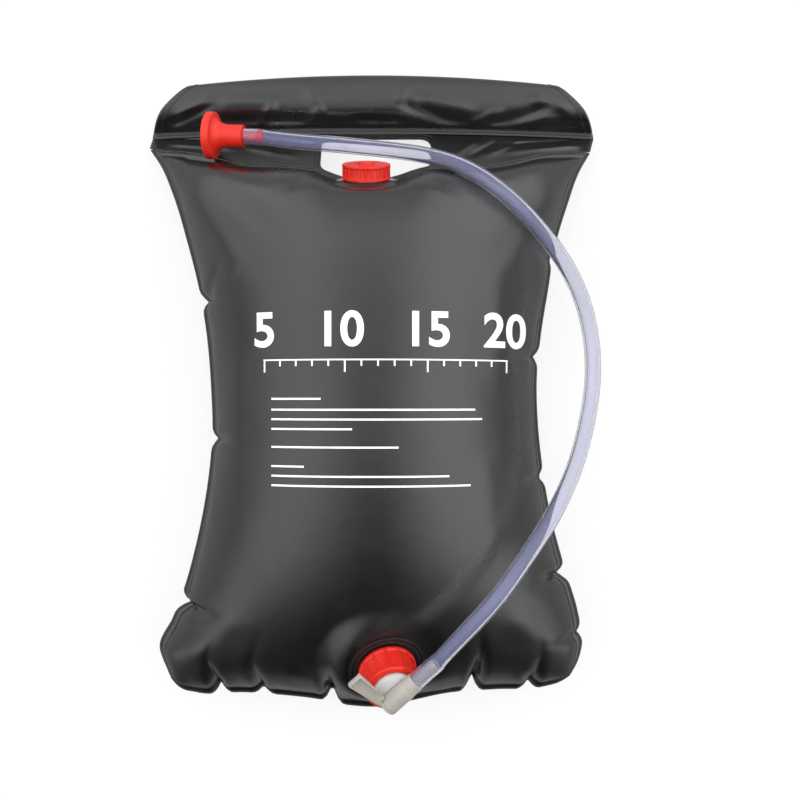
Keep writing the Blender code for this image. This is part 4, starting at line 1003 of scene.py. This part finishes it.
def filler():
    neck = (
        (0.0155, -0.0015), (0.0270, -0.0015), (0.0270, 0.0006), (0.0262, 0.0015), (0.0190, 0.0015),
        (0.0185, 0.0026), (0.0185, 0.0118), (0.0155, 0.0118),
    )
    wound = thread(MILKY, Turns=2.2, Radius=0.01842, Rise=0.0066, Bead=0.00036, Low=0.0036)
    bm = joined(turned(neck, 112, ease=0.0003), wound)
    piece = piece_from("filler_neck_moulding", placed(bm, FILLER), outward=False)
    wear(piece, MILKY, "milky_plastic", "bag", "filler_neck")
    low, top = 0.0032, 0.0159
    cap = (
        (0, top + 0.0020), (0.0070, top + 0.0020), (0.0070, top + 0.0001), (0.0076, top - 0.0005),
        (0.0150, top - 0.0005), (0.0172, top), (0.0210, top), (0.0210, top - 0.0019),
        (0.0198, top - 0.0024), (0.0198, low + 0.0024), (0.0210, low + 0.0019), (0.0210, low),
        (0.0189, low), (0.0189, top - 0.0023), (0, top - 0.0023),
    )
    grip = ribs(
        RED, Count=24, Radius=0.0199, Height=0.0090, Width=0.0017, Depth=0.0018,
        Low=(low + top) / 2, Lean=0.0,
    )
    bm = joined(turned(cap, 144, ring=False, ease=0.0005), grip)
    piece = piece_from("filler_screw_cap", placed(bm, FILLER), outward=False)
    wear(piece, RED, "red_plastic", "cap", "filler_cap")


filler()


# Outlet and tap

NUT_TOP, NUT_LIP = 0.0271, 0.0043
ADAPTER_TOP = NUT_TOP - NUT_LIP - GAP
ADAPTER_LOW = ADAPTER_TOP - 0.0028
NECK_TOP = ADAPTER_LOW - 2 * GAP - 0.002


def outlet():
    rim, half = 0.033, 0.0015
    crest, width = half + 0.001, 0.0018
    neck = (
        (0.016, -half), (rim, -half), (rim, crest), (rim - width, crest), (rim - width, half),
        (rim - 2 * width, half), (rim - 2 * width, crest), (rim - 3 * width, crest),
        (rim - 3 * width, half), (0.0204, half), (0.0200, half + 0.0008), (0.0200, NECK_TOP),
        (0.016, NECK_TOP),
    )
    wound = thread(BLACK, Turns=2.6, Radius=0.01995, Rise=0.0110, Bead=0.00036, Low=0.0050)
    bm = joined(turned(neck, 128, ease=0.00045), wound)
    piece = piece_from("outlet_neck_moulding", placed(bm, OUTLET))
    wear(piece, BLACK, "black_plastic", "bag", "outlet_neck")
    base, high, inside = 0.0026, NUT_TOP, 0.0204
    nut = (
        (0.0173, high), (0.0212, high), (0.0230, high - 0.0010), (0.0231, high - 0.0030),
        (0.0222, high - 0.0036), (0.0240, base + 0.0036), (0.02505, base + 0.0028),
        (0.02525, base), (inside, base), (inside, high - NUT_LIP), (0.0173, high - NUT_LIP),
    )
    grip = ribs(
        RED, Count=14, Radius=0.02318, Height=0.0196, Width=0.0022, Depth=0.0022,
        Low=base + 0.0120, Lean=-0.0935,
    )
    bm = joined(turned(nut, 168, ease=0.0006), grip)
    piece = piece_from("outlet_ring_nut", placed(bm, OUTLET), outward=False)
    wear(piece, RED, "red_plastic", "nut", "outlet_nut")


outlet()


def carved(piece):
    """Keep a moulding's cut shape, shaded anew."""
    shaded(applied(piece).data, 35)
    return piece


def rod(radius, low, high, steps=64):
    profile = ((0, low), (radius, low), (radius, high), (0, high))
    return turned(profile, steps, ring=False, ease=0)


def slab(low, high, ease, narrow):
    """A box with rounded edges, narrower in Z at the end of lesser Y."""
    low, high = Vector(low), Vector(high)
    bm = bmesh.new()
    bmesh.ops.create_cube(bm, size=1.0)
    size = Matrix.Diagonal((*(high - low), 1))
    bmesh.ops.transform(bm, matrix=Matrix.Translation((low + high) / 2) @ size, verts=bm.verts)
    for vert in bm.verts:
        if vert.co.y < (low.y + high.y) / 2:
            vert.co.z = low.z + (vert.co.z - low.z) * narrow
    bmesh.ops.bevel(bm, geom=list(bm.edges), offset=ease, segments=3, profile=0.5, affect="EDGES")
    return bm


def tap():
    bore, rim, dome, barrel = 0.0063, 0.0197, 0.0170, 0.0085
    turns = [math.radians(angle) for angle in range(0, 91, 9)]
    arc = [
        (bore + (dome - bore) * math.cos(a), NUT_TOP + GAP + 0.006 * math.sin(a)) for a in turns
    ]
    profile = (
        (bore, ADAPTER_LOW), (rim, ADAPTER_LOW), (rim, ADAPTER_TOP), (dome, ADAPTER_TOP), *arc,
    )
    adapter = piece_from("tap_dome", placed(turned(profile, 112, ease=0.0002), OUTLET))
    fuse(adapter, placed(rod(0.0088, -0.02, 0.02), TAP), "DIFFERENCE")
    wear(carved(adapter), MILKY, "milky_plastic", "bag", "tap_adapter")
    front, end = TAP_FRONT, 0.046
    barbs = []
    for k in range(3):
        barbs += [(0.0056, front + 0.0004 + 0.006 * k), (0.0052, front + 0.004 + 0.006 * k)]
    barbs.append((0.0056, front + 0.0184))
    profile = (
        (0.006, -0.009), (barrel, -0.009), (barrel, 0.0120), (0.00815, 0.0126), (0.00815, 0.0205),
        (0.0078, front), *barbs, (0.0048, end), (0.0036, end), (0.0036, 0.0095), (0.006, 0.0095),
    )
    body = piece_from("tap_barrel", placed(turned(profile, 96, ease=0.0004), TAP))
    fuse(body, placed(rod(0.006, ADAPTER_LOW, TAP_RISE - 0.00725), OUTLET), "UNION")
    fuse(body, placed(rod(0.0038, ADAPTER_LOW - 0.002, TAP_RISE), OUTLET), "DIFFERENCE")
    wear(carved(body), CREAM, "cream_plastic", "bag", "tap_body")
    radius, head = 0.006 - GAP, -0.009 - GAP
    back = head - 0.0042
    groove, half, floor = 0.0042, 0.0008, 0.0047
    turns = [math.radians(angle) for angle in range(0, 91, 10)]
    profile = (
        *[(barrel * math.sin(a), back + 0.0034 * (1 - math.cos(a))) for a in turns],
        (barrel, head), (radius, head), (radius, -groove - half), (floor, -groove - half),
        (floor, half - groove), (radius, half - groove), (radius, 0.0092), (0.0034, 0.0092),
        (0.0034, -0.0015), (0, -0.0015),
    )
    key = piece_from("tap_lever_key", placed(turned(profile, 96, ring=False, ease=0.0003), TAP))
    near, tip, wide = 0.0096, 0.0450, 0.0140
    for low, high, ease, narrow, operation in (
        ((-0.0025, near, back), (0.0025, tip, back + wide), 0.0011, 0.62, "UNION"),
        ((-0.0024, 0, back + 0.0002), (0.0024, 0.0120, head), 0.0008, 1, "UNION"),
        ((-0.0045, 0.0135, back + 0.0013), (0.0005, tip - 0.0014, back + wide - 0.0013), 0.0006,
         0.70, "DIFFERENCE"),
    ):
        fuse(key, placed(slab(low, high, ease, narrow), TAP), operation)
    wear(carved(key), CREAM, "cream_plastic", "key", "tap_key")


tap()


# Shower head

HEAD_LENGTH, PLATE_SETBACK, PLATE_THICKNESS = 0.0345, 0.0006, 0.0022
PLATE_LOW = HEAD_LENGTH - PLATE_SETBACK - PLATE_THICKNESS


def shower_head():
    length, tip, groove = 0.0185, 0.0235, 0.0100
    half, floor, outer = 0.0008, 0.0065, 0.0073
    barb = []
    for k in range(3):
        barb += [(0.0047, -0.0162 + 0.0052 * k), (0.0052, -0.0162 + 0.0052 * k + 0.0042)]
    profile = (
        (0, length - 0.0016), (0.0035, length - 0.0016), (0.0035, -0.017), (0.0044, -0.017), *barb,
        (0.0050, -0.0004), (outer, 0), (outer, groove - half), (floor, groove - half),
        (floor, groove + half), (outer, groove + half), (outer, length), (0.0040, length),
        (0.0040, tip), (0, tip),
    )
    shape = turned(profile, 80, ring=False, ease=0.0003)
    stem = piece_from("head_stem_moulding", placed(shape, HEAD))
    for turn in (0, 90):
        way = HEAD @ Matrix.Translation((0, 0, length - 0.0048))
        way = way @ Matrix.Rotation(math.radians(turn), 4, "Z")
        way = way @ Matrix.Rotation(math.radians(90), 4, "X")
        fuse(stem, placed(rod(0.0016, -0.010, 0.010, 24), way), "DIFFERENCE")
    wear(carved(stem), RED, "red_plastic", "bag", "head_stem")
    wall_low, mouth, lip = length + 2 * GAP, PLATE_LOW - GAP, 0.0192
    flare = [
        (0.0100 + 0.0108 * (1 - math.sqrt(1 - t * t)), 0.0150 + 0.0130 * t)
        for t in (k / 14 for k in range(1, 15))
    ]
    profile = (
        (0.0078, 0.0008), (0.0093, 0.0008), (0.0100, 0.0020), (0.0100, 0.0150), *flare,
        (0.0210, 0.0292), (0.0210, HEAD_LENGTH), (lip, HEAD_LENGTH), (lip, mouth),
        (lip - 0.0018, mouth), (lip - 0.0018, mouth - 0.0018), (0.0044, wall_low + 0.0022),
        (0.0044, wall_low), (0.0078, wall_low),
    )
    trumpet = piece_from("shower_trumpet", placed(turned(profile, 128, ease=0.0005), HEAD))
    wear(trumpet, RED, "red_plastic", "head", "head_trumpet")


shower_head()


def rose():
    """Perforated plate: holes set in rings by a tree and cut through."""
    tree, given = tree_with("perforated_plate", {
        "Radius": 0.0189, "Thick": PLATE_THICKNESS, "Hole": 0.0007,
        "Low": PLATE_LOW + PLATE_THICKNESS / 2,
    })
    plate = add(tree, "GeometryNodeMeshCylinder", (("Vertices", 96),), (
        (given, "Radius", "Radius"), (given, "Thick", "Depth"),
    ))
    hole = add(
        tree, "GeometryNodeMeshCylinder", (("Vertices", 12), ("Depth", 0.01)),
        ((given, "Hole", "Radius"),),
    )
    rings = add(tree, "GeometryNodeJoinGeometry")
    for count, radius in ((6, 0.0045), (12, 0.0088), (18, 0.0131), (24, 0.0166)):
        ring = add(tree, "GeometryNodeMeshCircle", (("Vertices", count), ("Radius", radius)))
        link(tree, ring, "Mesh", rings, "Geometry")
    copies = add(tree, "GeometryNodeInstanceOnPoints", links=(
        (rings, "Geometry", "Points"), (hole, "Mesh", "Instance"),
    ))
    solid = add(tree, "GeometryNodeRealizeInstances", links=((copies, "Instances", "Geometry"),))
    cut = add(tree, "GeometryNodeMeshBoolean", (), (
        (plate, "Mesh", "Mesh 1"), (solid, "Geometry", "Mesh 2"),
    ), "DIFFERENCE")
    bm = poured(bmesh.new(), baked(tree, given, cut, "Mesh", RED))
    piece = piece_from("rose_plate_moulding", placed(bm, HEAD))
    wear(piece, RED, "red_plastic", "head", "rose_plate")


rose()


# Generic print on the front: plain numbers over a tick scale, and thin rules

PRINT_LIFT, PRINT_STEP = 0.00012, 0.0045
NUMERAL_SIZE, NUMERAL_Y, NUMERAL_WEIGHT_SHARE = 0.040, 0.072, 0.022
NUMERALS = (("5", -0.088), ("10", -0.024), ("15", 0.048), ("20", 0.115))
SCALE_LEFT, SCALE_STEP, SCALE_Y, TICKS, TICK_HALF_WIDTH = -0.0880, 0.0136, 0.0600, 16, 0.0007
RULE_LEFT, RULE_HALF_WIDTH = -0.082, 0.0008
RULES = (
    (0.0280, -0.040), (0.0190, 0.088), (0.0110, 0.094), (0.0030, -0.014), (-0.0120, 0.024),
    (-0.0280, -0.054), (-0.0360, 0.066), (-0.0440, 0.084),
)


def cut_fine(bm, step):
    """Slice a flat shape finely, so that it can follow the film."""
    for axis in (0, 1):
        places = [vert.co[axis] for vert in bm.verts]
        normal = np.eye(3)[axis]
        for place in np.arange(min(places) + step, max(places), step):
            bmesh.ops.bisect_plane(
                bm, geom=[*bm.verts, *bm.edges, *bm.faces], plane_co=place * normal,
                plane_no=normal,
            )


def lettering(text, x):
    curve = bpy.data.curves.new("numeral", "FONT")
    curve.body, curve.size, curve.align_x = text, NUMERAL_SIZE, "CENTER"
    curve.offset = NUMERAL_SIZE * NUMERAL_WEIGHT_SHARE
    mesh = taken(put("numeral", curve))
    mesh.transform(Matrix.Translation((x, NUMERAL_Y, 0)))
    return mesh


def bar(left, right, low, high):
    bm = bmesh.new()
    corners = ((left, low), (right, low), (right, high), (left, high))
    bm.faces.new([bm.verts.new((x, y, 0)) for x, y in corners])
    return mesh_of("bar", bm)


def print_on_front():
    marks = [lettering(text, x) for text, x in NUMERALS]
    for k in range(TICKS):
        x = SCALE_LEFT + SCALE_STEP * k
        tall = 0.005 if k % 5 else 0.010
        marks.append(bar(x - TICK_HALF_WIDTH, x + TICK_HALF_WIDTH, SCALE_Y - tall, SCALE_Y))
    marks.append(bar(-0.0890, 0.1170, SCALE_Y - 0.0004, SCALE_Y + 0.0008))
    for y, right in RULES:
        marks.append(bar(RULE_LEFT, right, y - RULE_HALF_WIDTH, y + RULE_HALF_WIDTH))
    bm = bmesh.new()
    for mesh in marks:
        poured(bm, mesh)
    bmesh.ops.triangulate(bm, faces=bm.faces)
    cut_fine(bm, PRINT_STEP)
    tree = BVHTree.FromObject(film_front, bpy.context.evaluated_depsgraph_get())
    for vert in bm.verts:
        hit, normal, _, _ = tree.ray_cast(Vector((vert.co.x, vert.co.y, 0.4)), Vector((0, 0, -1)))
        vert.co = hit + normal * PRINT_LIFT
    bmesh.ops.recalc_face_normals(bm, faces=bm.faces)
    if sum(face.normal.z for face in bm.faces) < 0:
        bmesh.ops.reverse_faces(bm, faces=bm.faces)
    wear(piece_from("front_print", bm, outward=False), PRINT, "black_film", "bag")


print_on_front()


# Floor and lights

FLOOR_HALF, FLOOR_DROP, PAPER_TONE, PAPER_GLOW_SHARE = 4.0, 0.0004, 0.92, 0.80
# Painted shade in reflections: for glossy rays the paper's colour fades to dark past the tap end
PAPER_REFLECTION_SHADE = (("From Min", -0.75), ("From Max", -0.30), ("To Min", 0.03), ("To Max", 0.34))
LAMPS = (
    ("key_softbox", (-0.5, 0.4, 1.6), 13.0), ("fill_softbox", (0.6, -0.1, 1.6), 9.0),
)
LAMP_SIZE, LAMP_AIM = 1.8, (0, 0, 0.08)
# Brightness of the surroundings: two soft sides, and a middle that is dark past the tap end
SKY_STRENGTH = 1.6
SIDE_LIGHT_SHARES = (
    (0.0, 0.25), (0.04, 0.60), (0.12, 0.72), (0.25, 0.66), (0.38, 0.30), (0.46, 0.0),
    (0.54, 0.0), (0.62, 0.34), (0.75, 0.78), (0.88, 0.92), (0.96, 0.75), (1.0, 0.28),
)
SIDE_END_SHARES = ((0.0, 0.05), (0.14, 0.15), (0.24, 0.60), (0.32, 1.0), (1.0, 1.0))
MIDDLE_SHARES = (
    (0.0, 0.0), (0.15, 0.05), (0.32, 0.55), (0.45, 1.0), (0.55, 1.0), (0.68, 0.50), (0.85, 0.05),
    (1.0, 0.0),
)
MIDDLE_END_SHARES = (
    (0.0, 0.0), (0.18, 0.0), (0.30, 0.03), (0.40, 0.15), (0.475, 0.31), (0.525, 0.41),
    (0.60, 0.50), (0.725, 0.59), (0.90, 0.50), (1.0, 0.38),
)


def maths(tree, operation, *feeds):
    """One step of arithmetic over feeds: a (node, output) each, or a plain number."""
    node = add(tree, "ShaderNodeMath", operation=operation)
    for socket, feed in enumerate(feeds):
        if isinstance(feed, tuple):
            link(tree, *feed, node, socket)
        else:
            node.inputs[socket].default_value = feed
    return node, "Value"


def ramp_of(tree, feed, shares):
    """A grey ramp over a feed, from pairs of place and brightness."""
    ramp = add(tree, "ShaderNodeValToRGB", links=((*feed, "Fac"),))
    points = ramp.color_ramp.elements
    while len(points) < len(shares):
        points.new(0.5)
    for point, (place, bright) in zip(points, shares):
        point.position, point.color = place, (bright, bright, bright, 1)
    return ramp, "Color"


def seen_by_camera(tree):
    """The kind of ray, and 1 where it is the camera's own, also through the clear hose."""
    ray = add(tree, "ShaderNodeLightPath")
    return ray, maths(tree, "MAXIMUM", (ray, "Is Camera Ray"), (ray, "Is Transmission Ray"))


def paper():
    """White paper that glows a little for the camera; for glossy rays its colour is painted darker
    past the tap end, as painted shade in reflections.
    """
    material, tree, shader = nodes_of("floor_paper")
    shader.inputs["Roughness"].default_value = 0.9
    ray, seen = seen_by_camera(tree)
    spot = add(tree, "ShaderNodeTexCoord")
    parts = add(tree, "ShaderNodeSeparateXYZ", links=((spot, "Object", "Vector"),))
    # Painted shade: the paper turns darker past the tap end, seen only in reflections
    reflected_shade = add(tree, "ShaderNodeMapRange", PAPER_REFLECTION_SHADE, ((parts, "Y", "Value"),))
    tone = add(tree, "ShaderNodeMix", (("A", PAPER_TONE),), (
        (ray, "Is Glossy Ray", "Factor"), (reflected_shade, "Result", "B"),
    ))
    link(tree, tone, "Result", shader, "Base Color")
    glow = add(tree, "ShaderNodeEmission")
    part = maths(tree, "MULTIPLY", seen, PAPER_GLOW_SHARE)
    mix = add(tree, "ShaderNodeMixShader", links=((*part, 0), (shader, 0, 1), (glow, 0, 2)))
    link(tree, mix, 0, tree.nodes["Material Output"], "Surface")
    return material


def surroundings():
    """Soft light from both sides and past the handle end; plain white for the camera."""
    world = bpy.data.worlds.new("studio")
    scene.world = world
    world.use_nodes = True
    sky = world.node_tree
    back = sky.nodes["Background"]
    back.inputs["Color"].default_value = (1, 1, 1, 1)
    toward = add(sky, "ShaderNodeTexCoord")
    parts = add(sky, "ShaderNodeSeparateXYZ", links=((toward, "Generated", "Vector"),))
    across, along = [
        (add(sky, "ShaderNodeMapRange", (("From Min", -1),), ((parts, axis, "Value"),)), "Result")
        for axis in "XY"
    ]
    sides, middle = [
        maths(sky, "MULTIPLY", ramp_of(sky, across, wide), ramp_of(sky, along, far))
        for wide, far in ((SIDE_LIGHT_SHARES, SIDE_END_SHARES), (MIDDLE_SHARES, MIDDLE_END_SHARES))
    ]
    soft = maths(sky, "MULTIPLY", maths(sky, "ADD", sides, middle), SKY_STRENGTH)
    strength = maths(sky, "MAXIMUM", soft, seen_by_camera(sky)[1])
    link(sky, *strength, back, "Strength")


def studio():
    floor_mesh = bmesh.new()
    bmesh.ops.create_grid(floor_mesh, x_segments=1, y_segments=1, size=FLOOR_HALF)
    floor = piece_from("floor", floor_mesh)
    floor.location.z = -FLOOR_DROP
    floor.data.materials.append(paper())
    surroundings()
    for name, place, power in LAMPS:
        data = bpy.data.lights.new(name, "AREA")
        data.shape, data.size, data.energy = "SQUARE", LAMP_SIZE, power
        lamp = put(name, data)
        lamp.location, lamp.visible_glossy = place, False
        aim = Vector(LAMP_AIM) - Vector(place)
        lamp.rotation_euler = aim.to_track_quat("-Z", "Y").to_euler()


studio()
